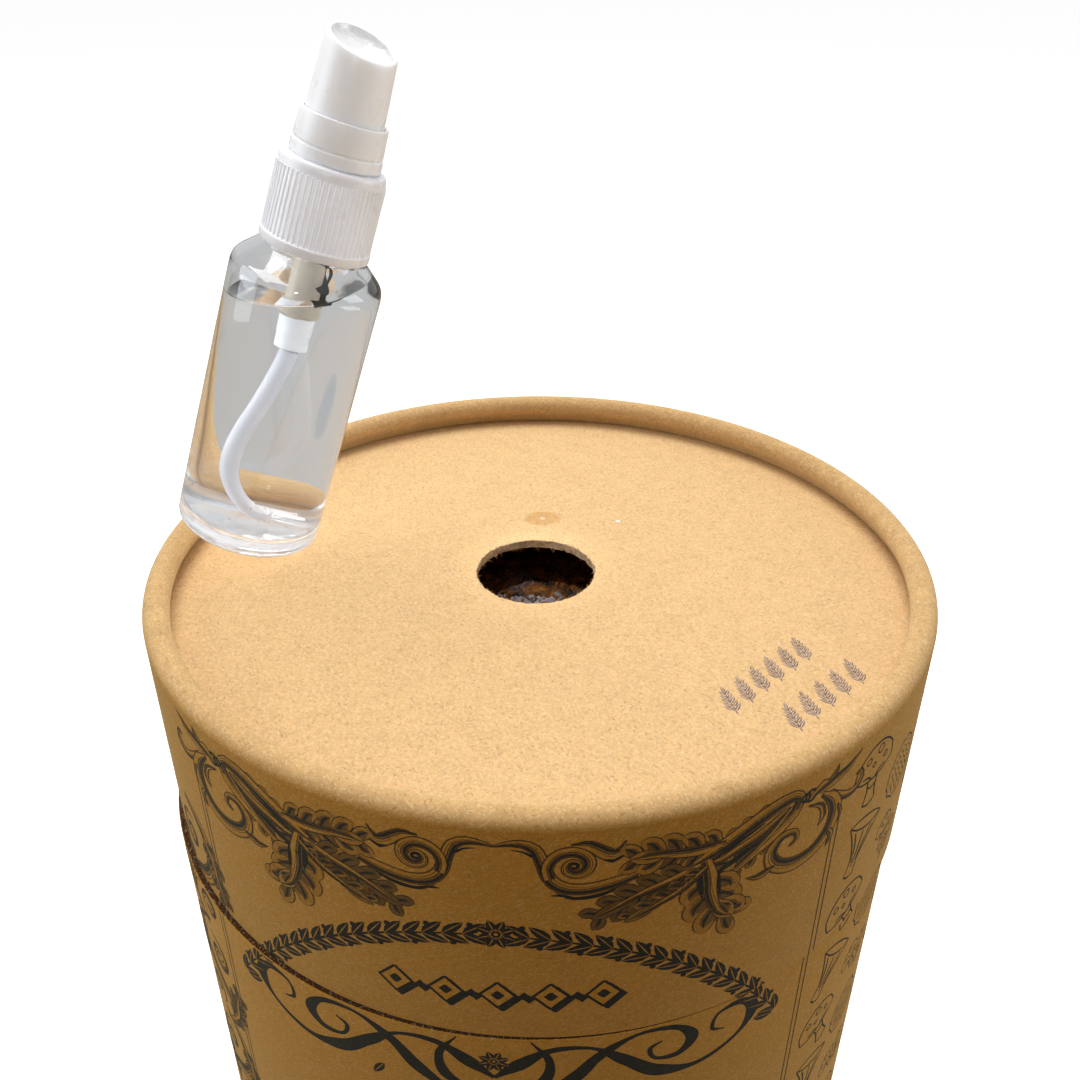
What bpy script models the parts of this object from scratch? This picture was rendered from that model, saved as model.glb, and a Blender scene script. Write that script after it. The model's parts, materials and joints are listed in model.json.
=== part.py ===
"""Mushroom grow kit: a kraft paper tube with a lift-off lid, the block of substrate inside
it, and a small spray bottle of water that stands in the lid's recess and leans on its rim.

Metres, +Z up. The origin is the middle of the tube's foot and the printed front faces -Y.
"""
import math

import bmesh
import bpy
from mathutils import Matrix, Vector, noise

MM = 0.001
GAP = 0.3 * MM

# Tube and lid, all around the vertical axis
TOTAL_HEIGHT = 230.0 * MM
TUBE_STEPS = 48
BASE_RADIUS = 80.6 * MM
BASE_BORE = 78.0 * MM
BASE_SHIFT_X = -0.35 * MM
FOOT_CHAMFER = 0.7 * MM
DISC_RECESS = 3.5 * MM
DISC_THICKNESS = 2.0 * MM
LINER_RADIUS = BASE_BORE - GAP
LINER_WALL = 1.5 * MM
LINER_TOP = 214.0 * MM
LID_RADIUS = 80.3 * MM
LID_WALL = 1.3 * MM
LID_SHIFT_X = 0.65 * MM
LID_DEPTH = 50.4 * MM
SEAM_GAP = 0.7 * MM
RIM_ROLL_RADIUS = 2.55 * MM
RIM_FOOT_RADIUS = 77.2 * MM
PANEL_RECESS = 7.1 * MM
PANEL_THICKNESS = 2.0 * MM
HOLE_RADIUS = 12.7 * MM
HOLE_SHIFT_X = -0.9 * MM
HOLE_STEPS = 32

# Block of substrate
BLOCK_RADIUS = LINER_RADIUS - LINER_WALL - 1.3 * GAP
BLOCK_HEADSPACE = 14.0 * MM
BLOCK_STEPS = 36
LUMP_HEIGHT = 2.2 * MM
LUMP_SIZE = 7.0 * MM

# Bottle: heights are above its base plane, along its own axis
LEAN = math.radians(19.0)
LEAN_TOWARDS = math.radians(8.9)
BOTTLE_STEPS = 30
BOTTLE_RADIUS = 15.05 * MM
BOTTLE_HEEL = 2.5 * MM
BOTTLE_WALL = 1.05 * MM
BOTTLE_FLOOR = 3.4 * MM
BOTTLE_AT = (-63.97 * MM, 11.88 * MM)
SHOULDER_LOW = 57.5 * MM
SHOULDER_HIGH = 63.5 * MM
NECK_RADIUS = 9.1 * MM
NECK_BORE = 7.6 * MM
NECK_TOP = 75.5 * MM
WATER_LEVEL_AT_WALL = 51.7 * MM

# Closure and pump, on the bottle's axis
COLLAR_LOW = 63.95 * MM
COLLAR_HIGH = 80.85 * MM
COLLAR_RADIUS = 10.75 * MM
COLLAR_BORE = 9.6 * MM
RIB_COUNT = 40
RIB_DEPTH = 0.3 * MM
SLEEVE_FOOT_RADIUS = 8.75 * MM
SLEEVE_TOP_RADIUS = 8.25 * MM
SLEEVE_TOP = 89.1 * MM
SLEEVE_PLUG_RADIUS = 8.3 * MM
BUTTON_FOOT_RADIUS = 7.4 * MM
BUTTON_TOP_RADIUS = 6.65 * MM
BUTTON_LOW = 83.3 * MM
BUTTON_MIDDLE_TOP = 102.2 * MM
BUTTON_SLANT = math.radians(17.0)
BUTTON_SLANT_TOWARDS = math.radians(-55.0)
STROKE = 4.5 * MM
STEM_RADIUS = 1.6 * MM
STEM_LOW = 65.8 * MM
STEM_HIGH = 85.8 * MM
PUMP_LOW = 44.1 * MM
PUMP_FLANGE_TOP = 76.7 * MM
NOZZLE_RADIUS = 2.2 * MM
NOZZLE_DEPTH = 2.4 * MM
NOZZLE_HEIGHT = 97.0 * MM

# The dip tube's middle line in the bottle's own axes: it bows to one wall and returns
TUBE_RADIUS = 1.45 * MM
TUBE_ROUTE = [
    (0.0, 0.0, 43.6), (-0.3, 0.0, 41.2), (-1.1, 0.1, 36.6), (-2.4, 0.3, 30.2),
    (-3.9, 0.5, 23.6), (-4.7, 0.6, 17.8), (-4.4, 0.5, 12.8), (-2.5, 0.2, 8.6),
    (0.3, -0.1, 6.3), (3.0, -0.3, 5.8),
]


def clear_scene():
    for obj in list(bpy.data.objects):
        bpy.data.objects.remove(obj)


def make_collection(name):
    collection = bpy.data.collections.new(name)
    bpy.context.scene.collection.children.link(collection)
    return collection


def make_material(name, colour, roughness, metallic=0.0, transmission=0.0, ior=1.45):
    material = bpy.data.materials.new(name)
    material.use_nodes = True
    shader = material.node_tree.nodes["Principled BSDF"]
    shader.inputs["Base Color"].default_value = (*colour, 1.0)
    shader.inputs["Roughness"].default_value = roughness
    shader.inputs["Metallic"].default_value = metallic
    shader.inputs["Transmission Weight"].default_value = transmission
    shader.inputs["IOR"].default_value = ior
    return material


def place(obj, collection, material, parent=None, location=(0.0, 0.0, 0.0)):
    collection.objects.link(obj)
    obj.data.materials.append(material)
    obj.parent = parent
    obj.location = location
    return obj


def bake(obj, sharp_angle=35.0):
    """Replace an object by the plain, smooth-shaded mesh that its modifiers make."""
    bpy.context.view_layer.update()
    evaluated = obj.evaluated_get(bpy.context.evaluated_depsgraph_get())
    mesh = bpy.data.meshes.new_from_object(evaluated)
    mesh.name = obj.name
    welded = bmesh.new()
    welded.from_mesh(mesh)
    bmesh.ops.remove_doubles(welded, verts=welded.verts, dist=0.002 * MM)
    welded.to_mesh(mesh)
    welded.free()
    mesh.shade_smooth()
    mesh.set_sharp_from_angle(angle=math.radians(sharp_angle))
    obj.modifiers.clear()
    obj.data = mesh
    return obj


def turned(name, profile, steps, collection, material, parent=None, location=(0.0, 0.0, 0.0),
           closed=True):
    """Turn a profile of (radius, height) points, which runs down its outer side, round Z."""
    mesh = bpy.data.meshes.new(name)
    count = len(profile)
    edges = [(i, i + 1) for i in range(count - 1)]
    if closed:
        edges.append((count - 1, 0))
    mesh.from_pydata([(radius, 0.0, height) for radius, height in profile], edges, [])
    obj = place(bpy.data.objects.new(name, mesh), collection, material, parent, location)
    screw = obj.modifiers.new("Turn", "SCREW")
    screw.axis = "Z"
    screw.steps = steps
    screw.render_steps = steps
    screw.use_merge_vertices = True
    screw.merge_threshold = 0.01 * MM
    return bake(obj)


def arc(middle_radius, middle_height, radius, start, end, count):
    """Points of a profile along an arc, with its angles in degrees from straight outwards."""
    points = []
    for i in range(count):
        angle = math.radians(start + (end - start) * i / (count - 1))
        points.append((middle_radius + radius * math.cos(angle),
                       middle_height + radius * math.sin(angle)))
    return points


def cylinder_cutter(name, radius, low, high, steps, collection, parent=None,
                    location=(0.0, 0.0, 0.0)):
    mesh = bpy.data.meshes.new(name)
    shape = bmesh.new()
    bmesh.ops.create_cone(shape, cap_ends=True, segments=steps, radius1=radius, radius2=radius,
                          depth=high - low, matrix=Matrix.Translation((0, 0, (low + high) / 2)))
    shape.to_mesh(mesh)
    shape.free()
    obj = bpy.data.objects.new(name, mesh)
    collection.objects.link(obj)
    obj.parent = parent
    obj.location = location
    return hide(obj)


def hide(obj):
    obj.hide_render = True
    obj.display_type = "WIRE"
    return obj


def cut(obj, cutter, operation="DIFFERENCE"):
    boolean = obj.modifiers.new(cutter.name, "BOOLEAN")
    boolean.operation = operation
    boolean.solver = "EXACT"
    boolean.object = cutter


def smooth_route(points, per_span):
    """Points along a Catmull-Rom curve through the route's own points."""
    route = [Vector(point) * MM for point in points]
    ends = [2 * route[0] - route[1]] + route + [2 * route[-1] - route[-2]]
    line = []
    for i in range(1, len(ends) - 2):
        before, start, end, after = ends[i - 1:i + 3]
        for j in range(per_span):
            t = j / per_span
            line.append(0.5 * (2 * start + (end - before) * t
                               + (2 * before - 5 * start + 4 * end - after) * t ** 2
                               + (3 * start - before - 3 * end + after) * t ** 3))
    line.append(route[-1])
    return line


def rod_along(name, line, radius, resolution):
    """A curve object: a solid round rod along a line of points."""
    curve = bpy.data.curves.new(name, "CURVE")
    curve.dimensions = "3D"
    spline = curve.splines.new("POLY")
    spline.points.add(len(line) - 1)
    for point, place_on_line in zip(spline.points, line):
        point.co = (*place_on_line, 1.0)
    curve.bevel_depth = radius
    curve.bevel_resolution = resolution
    curve.use_fill_caps = True
    return bpy.data.objects.new(name, curve)


def make_tube(parts, kraft, board):
    """The outer tube, its bottom disc and the liner that stands up into the lid."""
    at = (BASE_SHIFT_X, 0.0, 0.0)
    top = TOTAL_HEIGHT - LID_DEPTH - SEAM_GAP
    turned("base_tube", [
        (BASE_RADIUS, top),
        (BASE_RADIUS, FOOT_CHAMFER),
        (BASE_RADIUS - FOOT_CHAMFER, 0.0),
        (BASE_BORE + FOOT_CHAMFER, 0.0),
        (BASE_BORE, FOOT_CHAMFER),
        (BASE_BORE, top),
    ], TUBE_STEPS, parts, kraft, location=at)
    disc_top = DISC_RECESS + DISC_THICKNESS
    turned("bottom_disc", [
        (0.0, disc_top),
        (BASE_BORE - GAP, disc_top),
        (BASE_BORE - GAP, DISC_RECESS),
        (0.0, DISC_RECESS),
    ], TUBE_STEPS, parts, board, location=at, closed=False)
    liner_low = disc_top + GAP
    turned("inner_liner", [
        (LINER_RADIUS - GAP, LINER_TOP),
        (LINER_RADIUS, LINER_TOP - 2 * GAP),
        (LINER_RADIUS, liner_low),
        (LINER_RADIUS - LINER_WALL, liner_low),
        (LINER_RADIUS - LINER_WALL, LINER_TOP),
    ], TUBE_STEPS, parts, board, location=at)


def make_lid(parts, cutters, kraft):
    """The lid's wall, rolled over and in at the rim, and the panel with its round cut-out."""
    at = (LID_SHIFT_X, 0.0, 0.0)
    low = TOTAL_HEIGHT - LID_DEPTH
    panel_top = TOTAL_HEIGHT - PANEL_RECESS
    roll_middle = LID_RADIUS - RIM_ROLL_RADIUS
    roll_height = TOTAL_HEIGHT - RIM_ROLL_RADIUS
    outer = arc(roll_middle, roll_height, RIM_ROLL_RADIUS, 90, 0, 4)
    inner = arc(roll_middle, roll_height, RIM_ROLL_RADIUS, 240, 120, 5)
    turned("lid_skirt", outer + [
        (LID_RADIUS, low),
        (LID_RADIUS - LID_WALL, low),
        (LID_RADIUS - LID_WALL, panel_top + GAP),
        (RIM_FOOT_RADIUS, panel_top + GAP),
    ] + inner, TUBE_STEPS, parts, kraft, location=at)

    panel_radius = LID_RADIUS - LID_WALL - 1.3 * GAP
    panel = turned("lid_panel", [
        (0.0, panel_top),
        (panel_radius, panel_top),
        (panel_radius, panel_top - PANEL_THICKNESS),
        (0.0, panel_top - PANEL_THICKNESS),
    ], TUBE_STEPS, parts, kraft, location=at, closed=False)
    hole = cylinder_cutter("lid_hole_cutter", HOLE_RADIUS, panel_top - 2 * PANEL_THICKNESS,
                           panel_top + PANEL_THICKNESS, HOLE_STEPS, cutters,
                           location=(LID_SHIFT_X + HOLE_SHIFT_X, 0.0, 0.0))
    cut(panel, hole)
    bake(panel)


def make_block(parts, substrate):
    """The growing block: a plug of sawdust whose top is left lumpy."""
    low = DISC_RECESS + DISC_THICKNESS + GAP
    top = TOTAL_HEIGHT - PANEL_RECESS - PANEL_THICKNESS - BLOCK_HEADSPACE
    rings = [0.0, 3.5, 7.0, 10.5, 14.0, 18.0, 25.0, 36.0, 50.0, 66.0]
    profile = [(ring * MM, top) for ring in rings]
    profile += [(BLOCK_RADIUS, top - 2 * MM), (BLOCK_RADIUS, low), (0.0, low)]
    block = turned("substrate_block", profile, BLOCK_STEPS, parts, substrate,
                   location=(BASE_SHIFT_X, 0.0, 0.0), closed=False)
    for vertex in block.data.vertices:
        if vertex.co.z > top - MM:
            spot = Vector((vertex.co.x, vertex.co.y, 0.0)) / LUMP_SIZE
            broad = noise.noise(spot)
            fine = noise.noise(spot * 2.3 + Vector((5.0, 1.0, 0.0)))
            vertex.co.z += LUMP_HEIGHT * (broad + 0.5 * fine)
    block.data.update()


def bottle_frame(parts):
    """An empty at the middle of the bottle's base, with its Z along the leaning axis."""
    frame = bpy.data.objects.new("bottle_axis", None)
    parts.objects.link(frame)
    turn = (Matrix.Rotation(LEAN_TOWARDS, 4, "Z") @ Matrix.Rotation(LEAN, 4, "Y")
            @ Matrix.Rotation(-LEAN_TOWARDS, 4, "Z"))
    heel_drop = (BOTTLE_RADIUS - BOTTLE_HEEL) * math.sin(LEAN) + BOTTLE_HEEL * (1 - math.cos(LEAN))
    height = TOTAL_HEIGHT - PANEL_RECESS + GAP + heel_drop
    frame.matrix_world = Matrix.Translation((*BOTTLE_AT, height)) @ turn
    bpy.context.view_layer.update()
    return frame


def make_bottle(parts, frame, clear_plastic):
    """The bottle: floor, inner wall, neck, outer wall, rounded heel and pushed-up base."""
    heel_middle = BOTTLE_RADIUS - BOTTLE_HEEL
    bore = BOTTLE_RADIUS - BOTTLE_WALL
    heel = arc(heel_middle, BOTTLE_HEEL, BOTTLE_HEEL, 0, -90, 4)
    turned("bottle", [
        (0.0, BOTTLE_FLOOR + 0.3 * MM),
        (bore - 2.6 * MM, BOTTLE_FLOOR),
        (bore - 0.7 * MM, BOTTLE_FLOOR + 0.9 * MM),
        (bore, BOTTLE_FLOOR + 2.8 * MM),
        (bore, SHOULDER_LOW - 0.2 * MM),
        (bore - 0.7 * MM, SHOULDER_LOW + 1.4 * MM),
        (NECK_BORE + 2.0 * MM, SHOULDER_HIGH - 1.7 * MM),
        (NECK_BORE, SHOULDER_HIGH + 0.3 * MM),
        (NECK_BORE, NECK_TOP),
        (NECK_RADIUS, NECK_TOP),
        (NECK_RADIUS, SHOULDER_HIGH + 0.2 * MM),
        (NECK_RADIUS + 1.4 * MM, SHOULDER_HIGH - 0.1 * MM),
        (BOTTLE_RADIUS - 0.8 * MM, SHOULDER_LOW + 2.1 * MM),
        (BOTTLE_RADIUS - 0.2 * MM, SHOULDER_LOW + 1.1 * MM),
        (BOTTLE_RADIUS, SHOULDER_LOW),
    ] + heel + [
        (heel_middle - 1.5 * MM, 0.0),
        (heel_middle - 3.0 * MM, 0.9 * MM),
        (0.0, 1.4 * MM),
    ], BOTTLE_STEPS, parts, clear_plastic, parent=frame, closed=False)


def make_water(parts, cutters, frame, water_stuff):
    """The water: it fills the bottle's inside up to a level that lies flat in the world."""
    bore = BOTTLE_RADIUS - BOTTLE_WALL - GAP
    water = turned("water", [
        (0.0, SHOULDER_HIGH + 0.1 * MM),
        (NECK_BORE - GAP, SHOULDER_HIGH + 0.1 * MM),
        (NECK_BORE + 1.7 * MM, SHOULDER_HIGH - 1.9 * MM),
        (bore - 0.7 * MM, SHOULDER_LOW + 1.2 * MM),
        (bore, SHOULDER_LOW - 0.3 * MM),
        (bore, BOTTLE_FLOOR + 2.9 * MM),
        (bore - 0.6 * MM, BOTTLE_FLOOR + 1.2 * MM),
        (bore - 2.5 * MM, BOTTLE_FLOOR + GAP),
        (0.0, BOTTLE_FLOOR + 2 * GAP),
    ], BOTTLE_STEPS, parts, water_stuff, parent=frame, closed=False)

    wall_point = frame.matrix_world @ Vector((-bore, 0.0, WATER_LEVEL_AT_WALL))
    air_mesh = bpy.data.meshes.new("air_cutter")
    shape = bmesh.new()
    size = 4 * BOTTLE_RADIUS
    bmesh.ops.create_cube(shape, size=size)
    shape.to_mesh(air_mesh)
    shape.free()
    air = hide(bpy.data.objects.new("air_cutter", air_mesh))
    cutters.objects.link(air)
    air.location = (wall_point.x, wall_point.y, wall_point.z + size / 2)

    pump = cylinder_cutter("pump_pocket_cutter", 3.3 * MM + GAP, PUMP_LOW - GAP, NECK_TOP, 16,
                           cutters, parent=frame)
    route = smooth_route(TUBE_ROUTE, 3)
    route.insert(0, route[0] + Vector((0.0, 0.0, 2.0 * MM)))
    tip = (route[-1] - route[-2]).normalized()
    route.append(route[-1] + tip * GAP)
    channel = rod_along("dip_tube_pocket_cutter", route, TUBE_RADIUS + GAP, 2)
    cutters.objects.link(channel)
    channel.parent = frame
    bpy.context.view_layer.update()
    evaluated = channel.evaluated_get(bpy.context.evaluated_depsgraph_get())
    mesh = bpy.data.meshes.new_from_object(evaluated)
    welded = bmesh.new()
    welded.from_mesh(mesh)
    bmesh.ops.remove_doubles(welded, verts=welded.verts, dist=0.002 * MM)
    welded.to_mesh(mesh)
    welded.free()
    bpy.data.objects.remove(channel)
    channel = hide(bpy.data.objects.new("dip_tube_pocket_cutter", mesh))
    cutters.objects.link(channel)
    channel.parent = frame

    cut(water, air)
    cut(water, pump)
    cut(water, channel)
    bake(water)


def make_collar(parts, frame, white):
    """The screw collar: fine ribs on its side, a plain band below them, a rounded top."""
    rib_high = COLLAR_HIGH - 2.1 * MM
    rib_low = COLLAR_LOW + 2.3 * MM
    collar = turned("screw_collar", [
        (SLEEVE_PLUG_RADIUS + GAP, COLLAR_HIGH),
        (COLLAR_RADIUS - 1.0 * MM, COLLAR_HIGH - 0.2 * MM),
        (COLLAR_RADIUS - 0.5 * MM, COLLAR_HIGH - 1.2 * MM),
        (COLLAR_RADIUS - 0.3 * MM, rib_high),
        (COLLAR_RADIUS, rib_low),
        (COLLAR_RADIUS + 0.15 * MM, rib_low - 0.4 * MM),
        (COLLAR_RADIUS + 0.05 * MM, COLLAR_LOW),
        (COLLAR_BORE, COLLAR_LOW),
        (COLLAR_BORE, PUMP_FLANGE_TOP + GAP),
        (SLEEVE_PLUG_RADIUS + GAP, PUMP_FLANGE_TOP + GAP),
    ], 2 * RIB_COUNT, parts, white, parent=frame)
    for vertex in collar.data.vertices:
        radius = math.hypot(vertex.co.x, vertex.co.y)
        on_ribs = rib_low - 0.1 * MM < vertex.co.z < rib_high + 0.1 * MM
        if on_ribs and radius > COLLAR_RADIUS - 0.4 * MM:
            turn = math.atan2(vertex.co.y, vertex.co.x) / math.tau * 2 * RIB_COUNT
            if round(turn) % 2:
                shrink = (radius - RIB_DEPTH) / radius
                vertex.co.x *= shrink
                vertex.co.y *= shrink
    collar.data.update()


def make_sleeve(parts, frame, white):
    """The sleeve that guides the button: a cup whose plug sits in the collar's top."""
    bore = BUTTON_FOOT_RADIUS + GAP
    floor_low = PUMP_FLANGE_TOP + GAP
    groove = COLLAR_HIGH + 2.7 * MM
    turned("guide_sleeve", [
        (bore, SLEEVE_TOP),
        (SLEEVE_TOP_RADIUS - 0.1 * MM, SLEEVE_TOP),
        (SLEEVE_TOP_RADIUS + 0.05 * MM, SLEEVE_TOP - 0.3 * MM),
        (SLEEVE_FOOT_RADIUS - 0.15 * MM, groove + 0.2 * MM),
        (SLEEVE_FOOT_RADIUS - 0.35 * MM, groove),
        (SLEEVE_FOOT_RADIUS, groove - 0.2 * MM),
        (SLEEVE_FOOT_RADIUS, COLLAR_HIGH + GAP),
        (SLEEVE_PLUG_RADIUS, COLLAR_HIGH + GAP),
        (SLEEVE_PLUG_RADIUS, floor_low),
        (STEM_RADIUS + 2 * GAP, floor_low),
        (STEM_RADIUS + 2 * GAP, floor_low + 1.3 * MM),
        (bore, floor_low + 1.3 * MM),
    ], BOTTLE_STEPS, parts, white, parent=frame)


def make_pump(parts, frame, white, natural):
    """The pump body that hangs in the neck, the stem that slides in it and the dip tube."""
    chamber = 5.0 * MM
    flange_low = NECK_TOP + GAP
    turned("pump_body", [
        (0.0, STEM_LOW - STROKE - 2 * GAP),
        (STEM_RADIUS + GAP, STEM_LOW - STROKE - 2 * GAP),
        (STEM_RADIUS + GAP, PUMP_FLANGE_TOP),
        (NECK_RADIUS, PUMP_FLANGE_TOP),
        (NECK_RADIUS, flange_low),
        (chamber, flange_low),
        (chamber, SHOULDER_HIGH + 1.8 * MM),
        (3.3 * MM, SHOULDER_HIGH + 0.8 * MM),
        (3.2 * MM, PUMP_LOW + 7.4 * MM),
        (2.6 * MM, PUMP_LOW + 6.8 * MM),
        (2.45 * MM, PUMP_LOW),
        (0.0, PUMP_LOW),
    ], 20, parts, white, parent=frame, closed=False)
    turned("pump_stem", [
        (0.0, STEM_HIGH),
        (STEM_RADIUS - 0.3 * MM, STEM_HIGH),
        (STEM_RADIUS, STEM_HIGH - 0.3 * MM),
        (STEM_RADIUS, STEM_LOW),
        (0.0, STEM_LOW),
    ], 16, parts, white, parent=frame, closed=False)
    tube = rod_along("dip_tube", smooth_route(TUBE_ROUTE, 2), TUBE_RADIUS, 2)
    place(tube, parts, natural, parent=frame)


def make_button(parts, cutters, frame, white):
    """The button: slanted on top, with a dished finger rest, and a nozzle in its high side."""
    low_side = Vector((math.cos(BUTTON_SLANT_TOWARDS), math.sin(BUTTON_SLANT_TOWARDS), 0.0))
    button = turned("spray_button", [
        (0.0, BUTTON_MIDDLE_TOP + 4.0 * MM),
        (BUTTON_TOP_RADIUS, BUTTON_MIDDLE_TOP + 4.0 * MM),
        (BUTTON_FOOT_RADIUS, SLEEVE_TOP),
        (BUTTON_FOOT_RADIUS, BUTTON_LOW),
        (STEM_RADIUS + GAP, BUTTON_LOW),
        (STEM_RADIUS + GAP, STEM_HIGH + GAP),
        (0.0, STEM_HIGH + GAP),
    ], BOTTLE_STEPS, parts, white, parent=frame, closed=False)

    slant = Matrix.Rotation(BUTTON_SLANT, 4, low_side.cross(Vector((0.0, 0.0, -1.0))))
    top_middle = Matrix.Translation((0.0, 0.0, BUTTON_MIDDLE_TOP)) @ slant
    size = 4 * BUTTON_FOOT_RADIUS
    mesh = bpy.data.meshes.new("button_slant_cutter")
    shape = bmesh.new()
    bmesh.ops.create_cube(shape, size=size, matrix=Matrix.Translation((0.0, 0.0, size / 2)))
    shape.to_mesh(mesh)
    shape.free()
    slice_off = hide(bpy.data.objects.new("button_slant_cutter", mesh))
    cutters.objects.link(slice_off)
    slice_off.parent = frame
    slice_off.matrix_local = top_middle

    dish_radius = BUTTON_TOP_RADIUS - 0.9 * MM
    mesh = bpy.data.meshes.new("finger_dish_cutter")
    shape = bmesh.new()
    bmesh.ops.create_uvsphere(shape, u_segments=24, v_segments=10, radius=dish_radius,
                              matrix=Matrix.Diagonal((1.0, 1.0, 0.42, 1.0)))
    shape.to_mesh(mesh)
    shape.free()
    dish = hide(bpy.data.objects.new("finger_dish_cutter", mesh))
    cutters.objects.link(dish)
    dish.parent = frame
    dish.matrix_local = top_middle

    sideways = low_side.to_track_quat("-Z", "Y").to_matrix().to_4x4()
    wall = BUTTON_FOOT_RADIUS - (BUTTON_FOOT_RADIUS - BUTTON_TOP_RADIUS) * 0.45
    nozzle_place = Matrix.Translation((0.0, 0.0, NOZZLE_HEIGHT)) @ sideways
    pocket = cylinder_cutter("nozzle_pocket_cutter", NOZZLE_RADIUS + GAP,
                             wall - NOZZLE_DEPTH - GAP, wall + 3 * MM, 16, cutters, parent=frame)
    pocket.matrix_local = nozzle_place
    for cutter in (slice_off, dish, pocket):
        cut(button, cutter)
    bake(button)

    nozzle = turned("nozzle_insert", [
        (0.0, wall - 0.7 * MM),
        (0.5 * MM, wall - 0.7 * MM),
        (1.2 * MM, wall - 0.1 * MM),
        (NOZZLE_RADIUS - 0.2 * MM, wall - 0.1 * MM),
        (NOZZLE_RADIUS, wall - 0.3 * MM),
        (NOZZLE_RADIUS, wall - NOZZLE_DEPTH),
        (0.0, wall - NOZZLE_DEPTH),
    ], 16, parts, white, parent=frame, closed=False)
    nozzle.matrix_local = nozzle_place


def main():
    clear_scene()
    parts = make_collection("mushroom_grow_kit")
    cutters = make_collection("cutters")
    kraft = make_material("kraft_paper", (0.62, 0.42, 0.20), 0.8)
    board = make_material("grey_board", (0.50, 0.38, 0.24), 0.85)
    substrate = make_material("sawdust_substrate", (0.16, 0.09, 0.05), 0.95)
    clear_plastic = make_material("clear_plastic", (1.0, 1.0, 1.0), 0.03, transmission=1.0, ior=1.57)
    water_stuff = make_material("water", (0.98, 1.0, 1.0), 0.0, transmission=1.0, ior=1.333)
    white = make_material("white_plastic", (0.85, 0.85, 0.85), 0.35)
    natural = make_material("natural_plastic", (0.80, 0.82, 0.82), 0.4)
    make_tube(parts, kraft, board)
    make_lid(parts, cutters, kraft)
    make_block(parts, substrate)
    frame = bottle_frame(parts)
    make_bottle(parts, frame, clear_plastic)
    make_water(parts, cutters, frame, water_stuff)
    make_collar(parts, frame, white)
    make_sleeve(parts, frame, white)
    make_pump(parts, frame, white, natural)
    make_button(parts, cutters, frame, white)


main()
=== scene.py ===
# %% [markdown]
# # A mushroom grow kit in a kraft paper tube
# The real kit is a paper tube, like a large tea canister, with a lift-off lid. A hole in the
# lid shows the block of sawdust that the mushroom grows from, and a small spray bottle of
# water leans on the rim. The construction is packed already, so this lesson only dresses it:
# smoother walls, paper, printing ink, clear plastic, water, crumbs and light.
#
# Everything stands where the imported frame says, in metres. MM turns millimetres into metres.

# %% Load the frame
import json
import math

import bmesh
import bpy
from mathutils import Matrix, Vector, noise


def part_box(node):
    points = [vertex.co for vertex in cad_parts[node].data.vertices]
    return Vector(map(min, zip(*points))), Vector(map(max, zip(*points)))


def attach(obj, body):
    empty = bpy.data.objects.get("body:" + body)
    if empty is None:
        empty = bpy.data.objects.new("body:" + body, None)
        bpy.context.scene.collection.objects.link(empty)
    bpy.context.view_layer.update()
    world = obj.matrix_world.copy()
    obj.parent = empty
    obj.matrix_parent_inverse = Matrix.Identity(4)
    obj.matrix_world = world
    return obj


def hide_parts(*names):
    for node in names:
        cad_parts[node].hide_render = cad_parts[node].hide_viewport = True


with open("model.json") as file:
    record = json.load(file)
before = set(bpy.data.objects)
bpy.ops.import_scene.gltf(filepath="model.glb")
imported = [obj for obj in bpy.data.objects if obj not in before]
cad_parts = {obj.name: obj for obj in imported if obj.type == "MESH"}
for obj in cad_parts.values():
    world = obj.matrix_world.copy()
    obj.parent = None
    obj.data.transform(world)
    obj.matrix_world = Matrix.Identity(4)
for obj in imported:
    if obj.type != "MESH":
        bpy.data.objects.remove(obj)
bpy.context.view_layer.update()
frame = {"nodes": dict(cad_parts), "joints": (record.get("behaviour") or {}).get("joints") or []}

MM = 0.001
print("nodes:", ", ".join(sorted(frame["nodes"])))

# %% [markdown]
# ## Sizes from the frame
# A dressed piece has to sit where its plain solid sits. So each size is read from the
# frame's boxes, and the bottle's leaning axis is read from the joint that its button turns on.

# %% Read the main sizes
def middle_and_radius(low, high):
    """Where a round part stands along x, and its radius."""
    return (low.x + high.x) / 2, (high.x - low.x) / 2


lid_low, lid_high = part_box("lid_skirt")
base_low, base_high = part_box("base_tube")
panel_low, panel_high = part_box("lid_panel")
block_low, block_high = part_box("substrate_block")
RIM_TOP, LID_LOWER_EDGE = lid_high.z, lid_low.z
PANEL_TOP, PANEL_BOTTOM = panel_high.z, panel_low.z
BASE_TOP = base_high.z
LID_MIDDLE, LID_RADIUS = middle_and_radius(lid_low, lid_high)
BASE_MIDDLE, BASE_RADIUS = middle_and_radius(base_low, base_high)
PANEL_RADIUS = middle_and_radius(panel_low, panel_high)[1]
BLOCK_MIDDLE, BLOCK_RADIUS = middle_and_radius(block_low, block_high)

swivel = next(joint for joint in frame["joints"] if joint["name"] == "swivel")
SWIVEL_ABOVE_BASE = 95.0 * MM
axis = Vector(swivel["axis"]).normalized()
bottle_foot = Vector(swivel["pos_m"]) - SWIVEL_ABOVE_BASE * axis
lean = Vector((0.0, 0.0, 1.0)).rotation_difference(axis).to_matrix().to_4x4()
BOTTLE_PLACE = Matrix.Translation(bottle_foot) @ lean
print(f"lid {2 * LID_RADIUS / MM:.1f} mm across, rim {RIM_TOP / MM:.1f} mm high")
print(f"bottle leans {math.degrees(axis.angle((0, 0, 1))):.1f} degrees")

# %% [markdown]
# ## Camera
# The picture was taken close to the tube, a little above the rim, looking down about
# 30 degrees. A plain 36 mm sensor with a 35.6 mm lens gives the same strong narrowing
# towards the foot. There is no shift and no depth of field.

# %% Place the camera
CAMERA_AWAY = 193.4 * MM
CAMERA_ABOVE_RIM = 114.6 * MM
CAMERA_DOWN = math.radians(30.56)
CAMERA_LENS_MM = 35.607
scene = bpy.context.scene


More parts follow.
